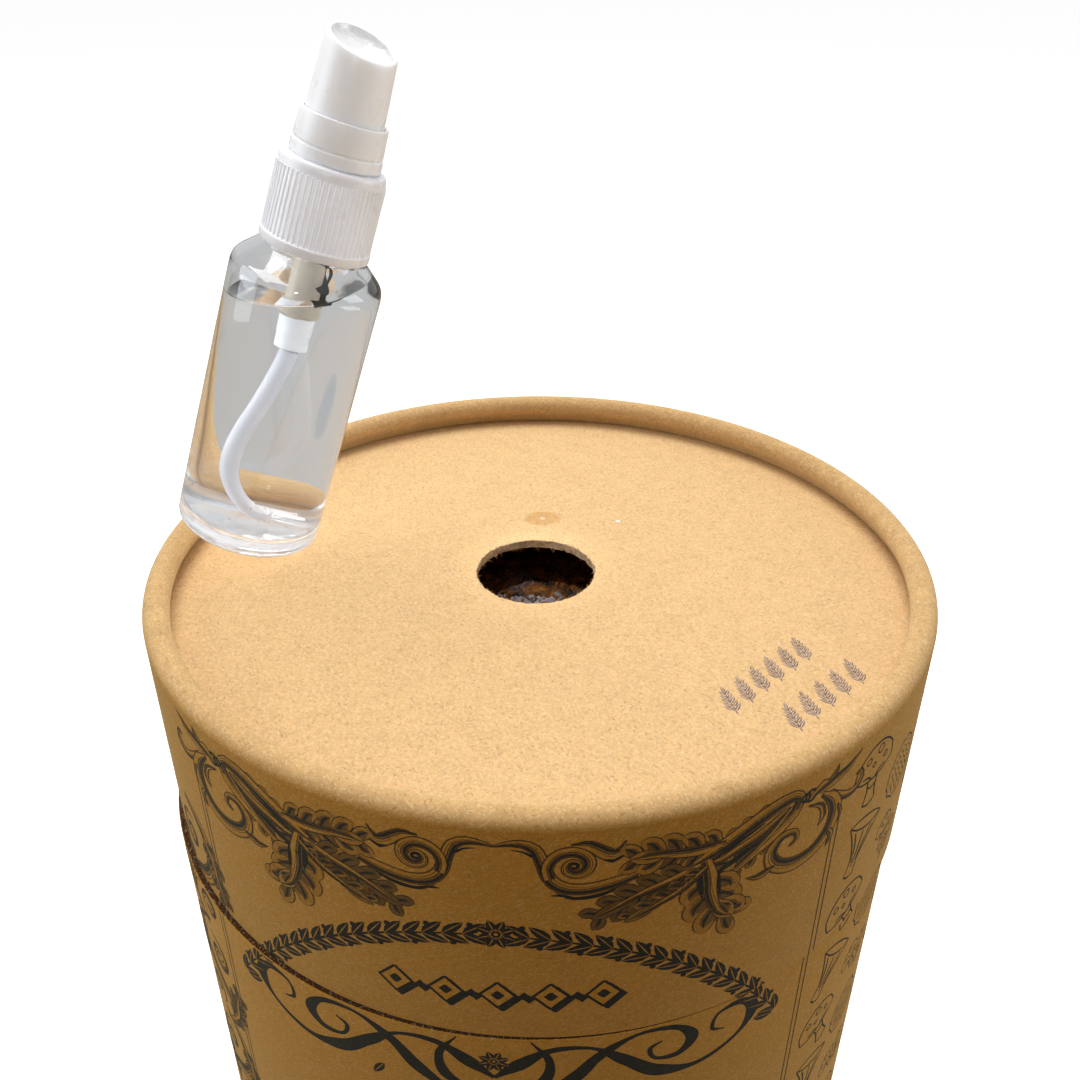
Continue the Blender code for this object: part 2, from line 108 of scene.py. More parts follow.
def stand(name, data):
    """Put a mesh, a lamp or a camera into the scene as a new object."""
    made = bpy.data.objects.new(name, data)
    scene.collection.objects.link(made)
    return made


camera_data = bpy.data.cameras.new("camera")
camera_data.sensor_width = 36.0
camera_data.sensor_fit = "HORIZONTAL"
camera_data.lens = CAMERA_LENS_MM
camera_data.clip_start = 0.01
camera = stand("camera", camera_data)
camera.location = (LID_MIDDLE, -CAMERA_AWAY, RIM_TOP + CAMERA_ABOVE_RIM)
camera.rotation_euler = (math.pi / 2 - CAMERA_DOWN, 0.0, 0.0)
scene.camera = camera
print("camera at", tuple(round(value, 4) for value in camera.location))

# %% [markdown]
# ## Helpers for shapes
# Nearly everything in this kit is turned: a profile of radius and height, swept once round
# an axis. `soften` rounds a profile's corners first, because no moulded or rolled edge is
# sharp. `skin` joins rings of points with faces, also where a shape isn't quite round. The
# place of a piece goes into its mesh, so that its object stays at the origin.

# %% Turn profiles into meshes
def soften(corners, closed=True, count=4):
    """Round each (radius, height, fillet) corner of a profile with a short curve."""
    points = []
    total = len(corners)
    for index, (x, y, fillet) in enumerate(corners):
        here = Vector((x, y))
        is_end = not closed and index in (0, total - 1)
        if fillet == 0 or is_end:
            points.append(here)
            continue
        before = Vector(corners[index - 1][:2]) - here
        after = Vector(corners[(index + 1) % total][:2]) - here
        start = here + before.normalized() * min(fillet, before.length * 0.49)
        end = here + after.normalized() * min(fillet, after.length * 0.49)
        for step in range(count + 1):
            t = step / count
            points.append(start * (1 - t) ** 2 + here * 2 * t * (1 - t) + end * t ** 2)
    return points


def arc(middle, radius, start, end, count):
    """Profile points on an arc; angles are in degrees from straight outwards."""
    angles = [math.radians(start + (end - start) * step / (count - 1)) for step in range(count)]
    return [Vector(middle) + radius * Vector((math.cos(angle), math.sin(angle))) for angle in angles]


def ring(shape, steps, radius, height, middle_x=0.0):
    """New points round an axis; radius may be a function of the angle, height one of x and y."""
    made = []
    for step in range(steps):
        angle = math.tau * step / steps
        reach = radius(angle) if callable(radius) else radius
        x, y = reach * math.cos(angle), reach * math.sin(angle)
        made.append(shape.verts.new((middle_x + x, y, height(x, y) if callable(height) else height)))
    return made


def skin(shape, rings, closed=False):
    """Join each ring with the next one; a pole is one point many times over."""
    steps = len(rings[0])
    next_rings = rings[1:] + (rings[:1] if closed else [])
    for upper, lower in zip(rings, next_rings):
        for step in range(steps):
            following = (step + 1) % steps
            corners = [upper[step], lower[step], lower[following], upper[following]]
            corners = list(dict.fromkeys(corners))
            if len(corners) > 2:
                shape.faces.new(corners)


def cut_off(shape, point, way):
    """Cut away what lies beyond a point in a direction."""
    everything = list(shape.verts) + list(shape.edges) + list(shape.faces)
    return bmesh.ops.bisect_plane(
        shape, geom=everything, plane_co=point, plane_no=way, clear_outer=True)


def settle(mesh, place=None, sharp=50.0):
    """Put a mesh in its place and shade it smooth, except at edges sharper than an angle."""
    if place is not None:
        mesh.transform(place)
    mesh.shade_smooth()
    mesh.set_sharp_from_angle(angle=math.radians(sharp))


def write_mesh(name, shape):
    """A new mesh with what the bmesh holds."""
    mesh = bpy.data.meshes.new(name)
    shape.to_mesh(mesh)
    shape.free()
    return mesh


def finish_mesh(name, shape, place=None, sharp=40.0):
    """Write a bmesh to a smooth-shaded object whose place is in its vertices."""
    bmesh.ops.recalc_face_normals(shape, faces=shape.faces)
    mesh = write_mesh(name, shape)
    settle(mesh, place, sharp)
    return stand(name, mesh)


def turned(name, profile, steps, closed=True, place=None, sharp=40.0, unit=MM):
    """Sweep a profile of (radius, height) points, in millimetres, round Z; radius 0 is a pole."""
    shape = bmesh.new()
    rings = []
    for radius, height in profile:
        if radius * unit < 1e-7:
            rings.append([shape.verts.new((0.0, 0.0, height * unit))] * steps)
        else:
            rings.append(ring(shape, steps, radius * unit, height * unit))
    skin(shape, rings, closed)
    return finish_mesh(name, shape, place, sharp)


def sort_faces(piece, finishes, choose):
    """Give a piece several finishes; choose says which of them a face gets."""
    for finish in finishes:
        piece.data.materials.append(finish)
    for face in piece.data.polygons:
        face.material_index = int(choose(face))


def repaint(piece, finish):
    """Take off what a piece wears and give it one finish."""
    piece.data.materials.clear()
    piece.data.materials.append(finish)


def dress(piece, body, material, slot, *nodes):
    """Give a piece its material and body, and hide the plain solids it stands for; slot is not used."""
    if material is not None:
        repaint(piece, material)
    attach(piece, body)
    if nodes:
        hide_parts(*nodes)
    print(f"{piece.name}: {len(piece.data.polygons)} faces, rides on {body}")
    return piece


# %% [markdown]
# ## Helpers for node trees
# A node tree is easier to read when each node is one call that names its inputs. `feed` sets
# a socket to a value, or links it when the value is another node's output. `node` makes a
# node and feeds it. `result` gives the new node's first output, which most steps need.

# %% Build node trees
def feed(made, values):
    """Set inputs of a node, or link them when the value is an output."""
    for name, value in values.items():
        if isinstance(value, bpy.types.NodeSocket):
            made.id_data.links.new(value, made.inputs[name])
        else:
            made.inputs[name].default_value = value
    return made


def node(tree, kind, values=None, **settings):
    made = tree.nodes.new(kind)
    for name, value in settings.items():
        setattr(made, name, value)
    return feed(made, values or {})


def result(tree, kind, values=None, **settings):
    return node(tree, kind, values, **settings).outputs[0]


def maths(tree, operation, *values, clamp=False):
    values = dict(enumerate(values))
    return result(tree, "ShaderNodeMath", values, operation=operation, use_clamp=clamp)


def times(tree, *values):
    return maths(tree, "MULTIPLY", *values)


def length_of(tree, x, y):
    """How far the point (x, y) is from the origin."""
    return maths(tree, "SQRT", maths(tree, "ADD", times(tree, x, x), times(tree, y, y)))


def vector_maths(tree, operation, first, second):
    """A sum on two vectors, or on a vector and a number for SCALE."""
    values = {0: first, "Scale" if operation == "SCALE" else 1: second}
    return result(tree, "ShaderNodeVectorMath", values, operation=operation)


def parts_of(tree, vector):
    """The x, y and z of a vector."""
    return node(tree, "ShaderNodeSeparateXYZ", {"Vector": vector}).outputs


def vector_from(tree, **parts):
    return result(tree, "ShaderNodeCombineXYZ", parts)


def remap(tree, value, low, high, to_low=0.0, to_high=1.0):
    return result(tree, "ShaderNodeMapRange", {
        "Value": value, "From Min": low, "From Max": high, "To Min": to_low, "To Max": to_high})


def blend_colour(tree, share, first, second, kind="MIX"):
    values = {0: share, 6: first, 7: second}
    return node(tree, "ShaderNodeMix", values, data_type="RGBA", blend_type=kind).outputs[2]


def spot_on(tree):
    """Object coordinates, which don't stretch and fit every piece."""
    return node(tree, "ShaderNodeTexCoord").outputs["Object"]


def noise_at(tree, where, scale, detail, **more):
    return result(tree, "ShaderNodeTexNoise", {"Vector": where, "Scale": scale, "Detail": detail, **more})


def emboss(tree, shader, height, distance, strength):
    """Raise the surface of a finish by a pattern, in its shading only."""
    feed(shader, {"Normal": result(tree, "ShaderNodeBump", {
        "Height": height, "Distance": distance, "Strength": strength})})


def new_group(name, kind, inputs, outputs):
    """A node group; an input has a default value or, as text, only a kind of socket."""
    tree = bpy.data.node_groups.new(name, kind)
    kinds = {int: "Int", float: "Float", tuple: "Color"}
    for label, value in inputs.items():
        kind_only = isinstance(value, str)
        kind_name = "NodeSocket" + (value if kind_only else kinds[type(value)])
        socket = tree.interface.new_socket(label, in_out="INPUT", socket_type=kind_name)
        if not kind_only:
            socket.default_value = value
    for label, kind_name in outputs.items():
        tree.interface.new_socket(label, in_out="OUTPUT", socket_type="NodeSocket" + kind_name)
    return tree, tree.nodes.new("NodeGroupInput").outputs, tree.nodes.new("NodeGroupOutput")


def finish_of(name, values=None):
    """A new material, its tree, and its Principled shader with some inputs set."""
    material = bpy.data.materials.new(name)
    material.use_nodes = True
    shader = material.node_tree.nodes["Principled BSDF"]
    return material, material.node_tree, feed(shader, values or {})


def use_group(tree, group, values):
    return node(tree, "ShaderNodeGroup", values, node_tree=group).outputs


print("a tree is built with feed, node and result")

# %% [markdown]
# ## Kraft paper
# Kraft board is pressed from brown wood fibres, so close up it isn't one brown. It has cloudy
# patches a few millimetres across, a fine grain, and short hair-like flecks, some darker and
# some paler than the sheet. An image could show them, but noise in Object coordinates does
# it with no seam and at the right size on every piece. The flecks are noise squeezed hard
# across one direction. Three directions keep them from lining up. The walls, the panel, the
# bare board and the ink all use this group, so it is built once.

# %% Shader group: paper fibres
FLECK_TURNS = ((0.5, 0.3, 0.2), (-0.6, 0.4, 1.3), (0.3, -0.7, 2.4))
FLECK_SQUEEZE = (2900.0, 700.0, 2900.0)
DARK_FLECK_TINT = (0.56, 0.48, 0.38, 1.0)
PALE_FLECK_TONE = (1.0, 0.86, 0.62, 1.0)
SKIN_OUTPUTS = {"Colour": "Color", "Roughness": "Float", "Height": "Float"}
paper, paper_in, paper_out = new_group("paper fibres", "ShaderNodeTree", {
    "Paper": (0.5, 0.3, 0.1, 1.0), "Mottle": 0.10, "Grain": 0.14, "Dark Flecks": 0.6,
    "Pale Flecks": 0.5}, SKIN_OUTPUTS)
place_on = spot_on(paper)
clouds = noise_at(paper, place_on, 280.0, 4.0, Roughness=0.6)
grain = noise_at(paper, place_on, 1500.0, 2.0)
dark_mask = 0.0
pale_mask = 0.0
for turn in FLECK_TURNS:
    turned_way = result(paper, "ShaderNodeMapping", {"Vector": place_on, "Rotation": turn})
    squeezed = vector_maths(paper, "MULTIPLY", turned_way, FLECK_SQUEEZE)
    amount = noise_at(paper, squeezed, 1.0, 0.5)
    dark_mask = maths(paper, "MAXIMUM", remap(paper, amount, 0.31, 0.22), dark_mask)
    pale_mask = maths(paper, "MAXIMUM", remap(paper, amount, 0.63, 0.74), pale_mask)
cloud_tone = times(paper, maths(paper, "SUBTRACT", clouds, 0.5), paper_in["Mottle"])
grain_tone = times(paper, maths(paper, "SUBTRACT", grain, 0.5), paper_in["Grain"])
tone = maths(paper, "ADD", maths(paper, "ADD", cloud_tone, grain_tone), 0.5)
shaded = blend_colour(paper, 1.0, paper_in["Paper"], times(paper, tone, 2.0), "MULTIPLY")
darker = blend_colour(paper, 1.0, paper_in["Paper"], DARK_FLECK_TINT, "MULTIPLY")
paler = blend_colour(paper, 0.32, paper_in["Paper"], PALE_FLECK_TONE)
with_dark = blend_colour(paper, times(paper, dark_mask, paper_in["Dark Flecks"]), shaded, darker)
with_pale = blend_colour(paper, times(paper, pale_mask, paper_in["Pale Flecks"]), with_dark, paler)
feed(paper_out, {
    "Colour": with_pale,
    "Roughness": remap(paper, grain, 0.3, 0.7, 0.72, 0.9),
    "Height": maths(paper, "ADD", grain, maths(
        paper, "SUBTRACT", times(paper, pale_mask, 0.6), times(paper, dark_mask, 0.4)))})
print("paper group:", len(paper.nodes), "nodes")

# %% [markdown]
# ## Floor and light
# The picture is bright on top and shaded in front, so the main softbox is overhead and a
# little behind, and the room in front is dim. The floor looks near white to the camera, yet
# gives back less light, as a real floor would some way below, which keeps the front of the
# tube in shade. Rays that come through clear plastic meet one even grey, in the floor and in
# the room, like the grey backdrop of the real picture.

# %% Lay the floor and paint the room
FLOOR_HALF_SIZE = 8.0
FLOOR_SEEN = (0.95, 0.95, 0.95, 1.0)
FLOOR_GLOW = (0.42, 0.42, 0.42, 1.0)
FLOOR_GIVES_BACK = (0.33, 0.285, 0.215, 1.0)
THROUGH_GLASS = (0.56, 0.565, 0.555, 1.0)
BLACK = (0.0, 0.0, 0.0, 1.0)
SKY_BRIGHT = (0.78, 0.79, 0.82, 1.0)
SKY_DIM = (0.16, 0.088, 0.024, 1.0)
SKY_SEEN = (0.93, 0.93, 0.93, 1.0)


def seen_by_camera(tree):
    return node(tree, "ShaderNodeLightPath").outputs["Is Camera Ray"]


def came_through_glass(tree):
    """1 for rays that have passed clear plastic and aren't lighting a matt surface."""
    path = node(tree, "ShaderNodeLightPath").outputs
    passed = maths(tree, "GREATER_THAN", path["Transmission Depth"], 0.5)
    return maths(tree, "SUBTRACT", passed, path["Is Diffuse Ray"], clamp=True)


sweep = bmesh.new()
bmesh.ops.create_grid(sweep, x_segments=8, y_segments=8, size=FLOOR_HALF_SIZE)
floor = stand("floor", write_mesh("floor", sweep))
floor_paint, tree, shader = finish_of("floor paint", {
    "Emission Strength": 1.0, "Roughness": 0.9, "Specular IOR Level": 0.1})
eye = seen_by_camera(tree)
glass = came_through_glass(tree)
reflected = blend_colour(tree, eye, FLOOR_GIVES_BACK, FLOOR_SEEN)
glow = blend_colour(tree, eye, BLACK, FLOOR_GLOW)
feed(shader, {"Base Color": blend_colour(tree, glass, reflected, BLACK),
              "Emission Color": blend_colour(tree, glass, glow, THROUGH_GLASS)})
floor.data.materials.append(floor_paint)

world = bpy.data.worlds.new("studio room")
scene.world = world
world.use_nodes = True
sky = world.node_tree
way = parts_of(sky, node(sky, "ShaderNodeTexCoord").outputs["Generated"])
height_and_back = maths(sky, "ADD", times(sky, way["Y"], 0.75), times(sky, way["Z"], 0.9))
room = blend_colour(sky, remap(sky, height_and_back, -0.25, 0.9), SKY_DIM, SKY_BRIGHT)
room = blend_colour(sky, seen_by_camera(sky), room, SKY_SEEN)
feed(sky.nodes["Background"], {
    "Color": blend_colour(sky, came_through_glass(sky), room, THROUGH_GLASS), "Strength": 1.0})
print(f"floor {2 * FLOOR_HALF_SIZE:.0f} m wide, room:", world.name)

# %% [markdown]
# The bottle is bright although its sides stand up like the tube's, so a small spot lights it
# alone: its beam passes over the front of the rim and leaves over the back. A second spot,
# narrower than the cut-out, shines down it from the front, so that the nearest part of the
# block shows in the dark hole. Light bounces often inside a clear bottle before it comes out,
# so it's followed for longer than usual.

# %% Hang the lamps
KIT_MIDDLE = (0.0, 0.0, 0.2)
BLOCK_EDGE_IN_HOLE = (LID_MIDDLE - 1.5 * MM, 2.5 * MM, PANEL_TOP)


def hang(name, kind, place, aim, power, colour, **settings):
    """A lamp at a place that looks at a point."""
    lamp = bpy.data.lights.new(name, kind)
    lamp.energy = power
    lamp.color = colour
    for setting, value in settings.items():
        setattr(lamp, setting, value)
    holder = stand(name, lamp)
    holder.location = place
    holder.rotation_euler = (Vector(aim) - Vector(place)).to_track_quat("-Z", "Y").to_euler()


for name, place, size, power, colour in (
        ("key softbox", (-0.10, 0.42, 1.50), 0.9, 16.5, (1.0, 0.985, 0.96)),
        ("left softbox", (-1.3, -0.15, 0.75), 0.9, 8.6, (0.86, 0.93, 1.0)),
        ("right softbox", (1.4, 0.1, 0.5), 0.8, 7.2, (0.93, 0.97, 1.0))):
    hang(name, "AREA", place, KIT_MIDDLE, power, colour, shape="SQUARE", size=size)
hang("bottle spot", "SPOT", (0.02, -0.91, 0.60), BOTTLE_PLACE @ Vector((0.0, 0.0, 100 * MM)), 12.5,
     (0.84, 0.93, 1.0), spot_size=math.radians(8.0), spot_blend=0.9, shadow_soft_size=0.06)
hang("hole spot", "SPOT", (-0.12, -0.62, 1.40), BLOCK_EDGE_IN_HOLE, 60.0, (1.0, 1.0, 1.0),
     spot_size=math.radians(0.75), spot_blend=0.45, shadow_soft_size=0.01)
scene.view_settings.view_transform = "Standard"
scene.cycles.max_bounces = 16
scene.cycles.glossy_bounces = 12
scene.cycles.transmission_bounces = 16

# %% [markdown]
# ## Paper finishes
# The lid's panel and the wall around the tube are both kraft. The wall's wrap is painted a darker, more
# saturated brown than the panel: painted shade, since its side gets little light. Bare board shows where
# paper was cut: in the hole, at the seam and inside; the board behind the seam is painted near black, as
# shade. All of them are the paper group with other values.

# %% Mix the papers
PANEL_BROWN = (0.60, 0.388, 0.180)
# The wall's brown, darker and more saturated than the panel's: painted shade for a side that gets little
# light.
SHADED_WALL_BROWN = (0.43, 0.200, 0.016)
# The bead's paler brown: a painted highlight, the wall's paper as if lit.
LIT_BEAD_BROWN = (0.50, 0.31, 0.13)
WALL_GLOSS = 0.10
WALL_SHEEN = 0.2
SHEEN_TONE = (0.92, 1.0, 0.72, 1.0)
FIBRE_RELIEF = 0.05 * MM


def paper_finish(name, colour, bump, gloss=0.25, **values):
    """A finish of the paper group; returns the material, tree, shader and the group's outputs."""
    material, tree, shader = finish_of(name, {"Specular IOR Level": gloss})
    sheet = use_group(tree, paper, {"Paper": (*colour, 1.0), **values})
    feed(shader, {"Base Color": sheet["Colour"], "Roughness": sheet["Roughness"]})
    emboss(tree, shader, sheet["Height"], FIBRE_RELIEF, bump)
    return material, tree, shader, sheet


panel_kraft, panel_tree, panel_shader, panel_sheet = paper_finish(
    "panel kraft", PANEL_BROWN, 0.4, Mottle=0.13, Grain=0.22)
shaded_wall_kraft, wall_tree, wall_shader, wall_sheet = paper_finish(
    "shaded wall kraft", SHADED_WALL_BROWN, 0.35, WALL_GLOSS, **{"Pale Flecks": 0.35})
feed(wall_shader, {"Sheen Weight": WALL_SHEEN, "Sheen Tint": SHEEN_TONE})
bare_board = paper_finish("bare board", (0.50, 0.335, 0.19), 0.9, Mottle=0.6, Grain=0.6)[0]
# Near-black board: painted shade for the gap at the seam and what shows behind it.
seam_shade_board = paper_finish("seam shade board", (0.07, 0.03, 0.011), 0.9, 0.04, Mottle=0.3, Grain=0.4)[0]
print("papers:", [made.name for made in (panel_kraft, shaded_wall_kraft, bare_board, seam_shade_board)])

# %% [markdown]
# The bead on top of the lid's wall is the same wrap, painted a paler brown than the wall below: a painted
# highlight for its crest, which catches the light. The wall's finish turns to that tone with height on
# the outside, and everywhere inside the rim.

# %% Paint the bead's highlight
LIT_BEAD_START = 2.4 * MM
LIT_BEAD_END = 0.5 * MM
on_wall = parts_of(wall_tree, spot_on(wall_tree))
from_axis = length_of(wall_tree, maths(wall_tree, "SUBTRACT", on_wall["X"], LID_MIDDLE), on_wall["Y"])
high_up = remap(wall_tree, on_wall["Z"], RIM_TOP - LIT_BEAD_START, RIM_TOP - LIT_BEAD_END)
inside_rim = remap(wall_tree, from_axis, LID_RADIUS - 2.2 * MM, LID_RADIUS - 3.0 * MM)
# Share of the paler tone: a painted highlight on the bead.
painted = maths(wall_tree, "MAXIMUM", high_up, inside_rim)
lit_bead_sheet = use_group(wall_tree, paper, {"Paper": (*LIT_BEAD_BROWN, 1.0), "Mottle": 0.24})
feed(wall_shader, {"Base Color": blend_colour(
    wall_tree, painted, wall_sheet["Colour"], lit_bead_sheet["Colour"])})
print(f"the bead is rubbed pale over its top {LIT_BEAD_START / MM:.1f} mm")

# %% [markdown]
# ## A dried drop on the panel
# Someone misted the block and a drop dried near the hole. It left an oval a little darker
# than the sheet with a pale grain in the middle, and there is one white speck by it. These
# are colour only, so they are masks on the distance from a point of the panel.

# %% Add the dried drop
DROP_AT = (1.35 * MM, 22.7 * MM)
DROP_HALF_SIZE = (3.8 * MM, 3.5 * MM)
DAMP_TINT = (0.85, 0.76, 0.62, 1.0)
SPECK_AT = (18.7 * MM, 21.3 * MM)
SPECK_HALF_SIZE = (0.6 * MM, 0.6 * MM)
SPECK_TONE = (0.85, 0.8, 0.7, 1.0)
on_panel = spot_on(panel_tree)
wobble = noise_at(panel_tree, on_panel, 210.0, 1.0)


def distance_from(spot, half_size):
    """How far a point of the panel is from a mark, in units of the mark's half size."""
    flat = result(panel_tree, "ShaderNodeMapping", {
        "Vector": on_panel, "Scale": (1.0, 1.0, 0.0), "Location": (-spot[0], -spot[1], 0.0)})
    scale = (1.0 / half_size[0], 1.0 / half_size[1], 1.0)
    scaled = vector_maths(panel_tree, "MULTIPLY", flat, scale)
    length = node(panel_tree, "ShaderNodeVectorMath", {0: scaled}, operation="LENGTH")
    return maths(panel_tree, "ADD", length.outputs["Value"], times(panel_tree, wobble, 0.9))


from_drop = distance_from(DROP_AT, DROP_HALF_SIZE)
from_speck = distance_from(SPECK_AT, SPECK_HALF_SIZE)
drop_mask = remap(panel_tree, from_drop, 1.5, 1.3)
drop_middle = remap(panel_tree, from_drop, 0.66, 0.5)
speck_mask = maths(panel_tree, "MAXIMUM", remap(panel_tree, from_speck, 1.6, 0.9),
                   times(panel_tree, drop_middle, 0.3))
plain = panel_sheet["Colour"]
damp = blend_colour(panel_tree, 1.0, plain, DAMP_TINT, "MULTIPLY")
with_drop = blend_colour(panel_tree, drop_mask, plain, damp)
feed(panel_shader, {"Base Color": blend_colour(panel_tree, speck_mask, with_drop, SPECK_TONE)})
print("dried drop", [round(value / MM, 1) for value in DROP_AT], "mm from the lid's middle")

# %% [markdown]
# ## Tube and lid walls
# Both walls are wound paper board with a printed wrap. The lid's wall ends on top in a bead,
# rolled over and in, and the panel is held under it. A profile turned in 192 steps makes them
# round enough for a close view. The lid goes half a millimetre to one side, as it does
# on the real kit, so the step at the seam is wider on the left.

# %% Turn the walls
TURN_STEPS = 192
PRINT_ROOM = 0.1 * MM
LID_WALL = 1.3 * MM
BASE_WALL = 2.6 * MM
RIM_ROLL = 2.55 * MM
RIM_FOOT = 77.2 * MM
SEAM_SWELL = 0.4 * MM
# How far from the seam the inside of a wall is painted near black, as shade.
SEAM_SHADE_REACH = 12.0 * MM
wall_radius = LID_RADIUS - PRINT_ROOM
sleeve_radius = BASE_RADIUS - PRINT_ROOM
roll_middle = (LID_RADIUS - RIM_ROLL - PRINT_ROOM, RIM_TOP - RIM_ROLL)
under_rim = PANEL_TOP + 0.25 * MM
base_end = BASE_TOP + SEAM_SWELL
lid_profile = arc(roll_middle, RIM_ROLL, 90, 0, 13) + soften([
    (wall_radius, RIM_TOP - RIM_ROLL - 4 * MM, 0),
    (wall_radius, LID_LOWER_EDGE, 0.15 * MM),
    (wall_radius - LID_WALL, LID_LOWER_EDGE, 0.3 * MM),
    (wall_radius - LID_WALL, under_rim, 0),
    (RIM_FOOT, under_rim, 0.25 * MM),
]) + arc(roll_middle, RIM_ROLL, 236, 104, 17)
base_profile = soften([
    (sleeve_radius, base_end, 0.15 * MM),
    (sleeve_radius, 120 * MM, 0),
    (sleeve_radius, 60 * MM, 0),
    (sleeve_radius, 0.0, 0.8 * MM),
    (BASE_RADIUS - BASE_WALL, 0.0, 0.8 * MM),
    (BASE_RADIUS - BASE_WALL, base_end, 0.3 * MM),
])


def build_wall(name, profile, middle_x, bare_within, replaced):
    """Turn a wall: wrap outside, bare board inside a radius, and board painted near black as shade by the
    seam.
    """
    def choose(face):
        from_axis = math.hypot(face.center.x - middle_x, face.center.y)
        if from_axis >= bare_within or face.center.z >= PANEL_TOP:
            return 0
        return 2 if abs(face.center.z - LID_LOWER_EDGE) < SEAM_SHADE_REACH else 1

    wall = turned(name, profile, TURN_STEPS, place=Matrix.Translation((middle_x, 0, 0)), unit=1.0)
    sort_faces(wall, (shaded_wall_kraft, bare_board, seam_shade_board), choose)
    dress(wall, "kit", None, "kraft_paper", replaced)


build_wall("lid_wall", lid_profile, LID_MIDDLE, wall_radius - 0.06 * MM, "lid_skirt")
build_wall("base_wall", base_profile, BASE_MIDDLE, sleeve_radius - 0.4 * MM, "base_tube")

# %% [markdown]
# ## Panel with its cut-out
# The round panel is 2 mm board with a 1 inch hole. A blunt cutter left the hole's edge a
# little torn, so its radius wanders by a few tenths of a millimetre and the wall of the hole
# isn't quite upright. The rings are close together near the hole, where the noise acts.

# %% Build the panel
HOLE_RADIUS = 12.7 * MM
HOLE_MIDDLE = LID_MIDDLE - 0.9 * MM
HOLE_STEPS = 256
EDGE_ROUNDING = 0.18 * MM
WALL_DEPTHS = (0.0, 0.06, 0.25, 0.5, 0.75, 0.94, 1.0)
PANEL_SHARES = (0.0, 0.02, 0.06, 0.14, 0.3, 0.55, 0.8, 0.95, 1.0)
panel_thickness = PANEL_TOP - PANEL_BOTTOM
shape = bmesh.new()


def hole_edge(angle, depth):
    """Radius of the torn hole at an angle, with depth from 0 on top to 1 underneath."""
    spot = Vector((math.cos(angle), math.sin(angle), 0.0))
    broad = noise.noise(spot * 3.1 + Vector((0.0, 0.0, 4.0)))
    fine = noise.noise(spot * 16.0 + Vector((7.0, 0.0, depth * 1.5)))
    torn = noise.noise(spot * 41.0 + Vector((3.0, 2.0, depth * 4.0)))
    return HOLE_RADIUS + MM * (0.14 * broad + 0.20 * fine + 0.24 * torn - 0.14 * (1 - depth))


def hole_ring(depth):
    """A ring of the hole's wall, a little wider at both ends."""
    rounding = EDGE_ROUNDING if depth in (0.0, 1.0) else 0.0
    return ring(shape, HOLE_STEPS, lambda angle: hole_edge(angle, depth) + rounding,
                PANEL_TOP - depth * panel_thickness, HOLE_MIDDLE)


def panel_ring(share, height):
    """A ring between the hole (share 0) and the panel's outer edge (share 1)."""
    made = []
    for step in range(HOLE_STEPS):
        angle = math.tau * step / HOLE_STEPS
        way_out = Vector((math.cos(angle), math.sin(angle)))
        start = Vector((HOLE_MIDDLE, 0.0)) + way_out * (HOLE_RADIUS + 0.3 * MM)
        end = Vector((LID_MIDDLE, 0.0)) + way_out * PANEL_RADIUS
        made.append(shape.verts.new((*start.lerp(end, share), height)))
    return made


hole_rings = [hole_ring(depth) for depth in WALL_DEPTHS]
top_rings, bottom_rings = [[panel_ring(share, height) for share in PANEL_SHARES]
                           for height in (PANEL_TOP, PANEL_BOTTOM)]
skin(shape, top_rings[::-1] + hole_rings + bottom_rings, closed=True)
panel = finish_mesh("lid_panel_board", shape)
sort_faces(panel, (panel_kraft, bare_board), lambda face: face.normal.z <= 0.9)
dress(panel, "kit", None, "kraft_paper", "lid_panel")
print(f"hole {2 * HOLE_RADIUS / MM:.1f} mm across in {panel_thickness / MM:.1f} mm board")

# %% [markdown]
# ## Liner and bottom disc
# These two are plain board rings that hardly show: the liner behind the seam, of board painted near black
# as the shade in the seam's gap, and the disc from below. The imported solids are right, so they stay and
# only get a finish.

# %% Finish the plain boards
repaint(frame["nodes"]["inner_liner"], seam_shade_board)
repaint(frame["nodes"]["bottom_disc"], bare_board)
print("kept: inner_liner, bottom_disc")

# %% [markdown]
# ## Block of substrate
# The mushroom grows from a plug of hardwood sawdust and bran. Through the hole one sees brown crumbs of
# all sizes, bound by pale threads of mycelium. The plug itself is one turned shape with a lumpy top. Its
# colour comes from noise at three sizes. All its tones and the mycelium's are set dark: the near-black
# brown is partly damp sawdust and partly painted shade, and the grey of the mycelium is painted shade,
# for the dim hole.

# %% Mix the substrate and mycelium
# Near-black and grey tones: partly damp sawdust, partly painted shade for the dim hole.
DAMP_AND_SHADE_BROWN = (0.01, 0.004, 0.0015, 1.0)
DRY_BROWN = (0.32, 0.115, 0.016, 1.0)
THREAD_TONE = (0.16, 0.135, 0.14, 1.0)
DOWN_DARK = (0.14, 0.11, 0.12, 1.0)
DOWN_PALE = (0.30, 0.265, 0.28, 1.0)
substrate, tree, shader = finish_of("sawdust substrate", {"Roughness": 0.92})
spot = spot_on(tree)
lumps = noise_at(tree, spot, 260.0, 4.0)
webbing = noise_at(tree, spot, 110.0, 5.0)
chips = node(tree, "ShaderNodeTexVoronoi", {"Vector": spot, "Scale": 620.0}).outputs
brown = blend_colour(tree, remap(tree, lumps, 0.35, 0.7), DAMP_AND_SHADE_BROWN, DRY_BROWN)
chip_tone = blend_colour(tree, 0.6, brown, times(tree, chips["Color"], 1.0), "OVERLAY")
threads = remap(tree, webbing, 0.56, 0.66, 0.0, 0.6)
feed(shader, {"Base Color": blend_colour(tree, threads, chip_tone, THREAD_TONE)})
emboss(tree, shader, chips["Distance"], 0.4 * MM, 0.7)

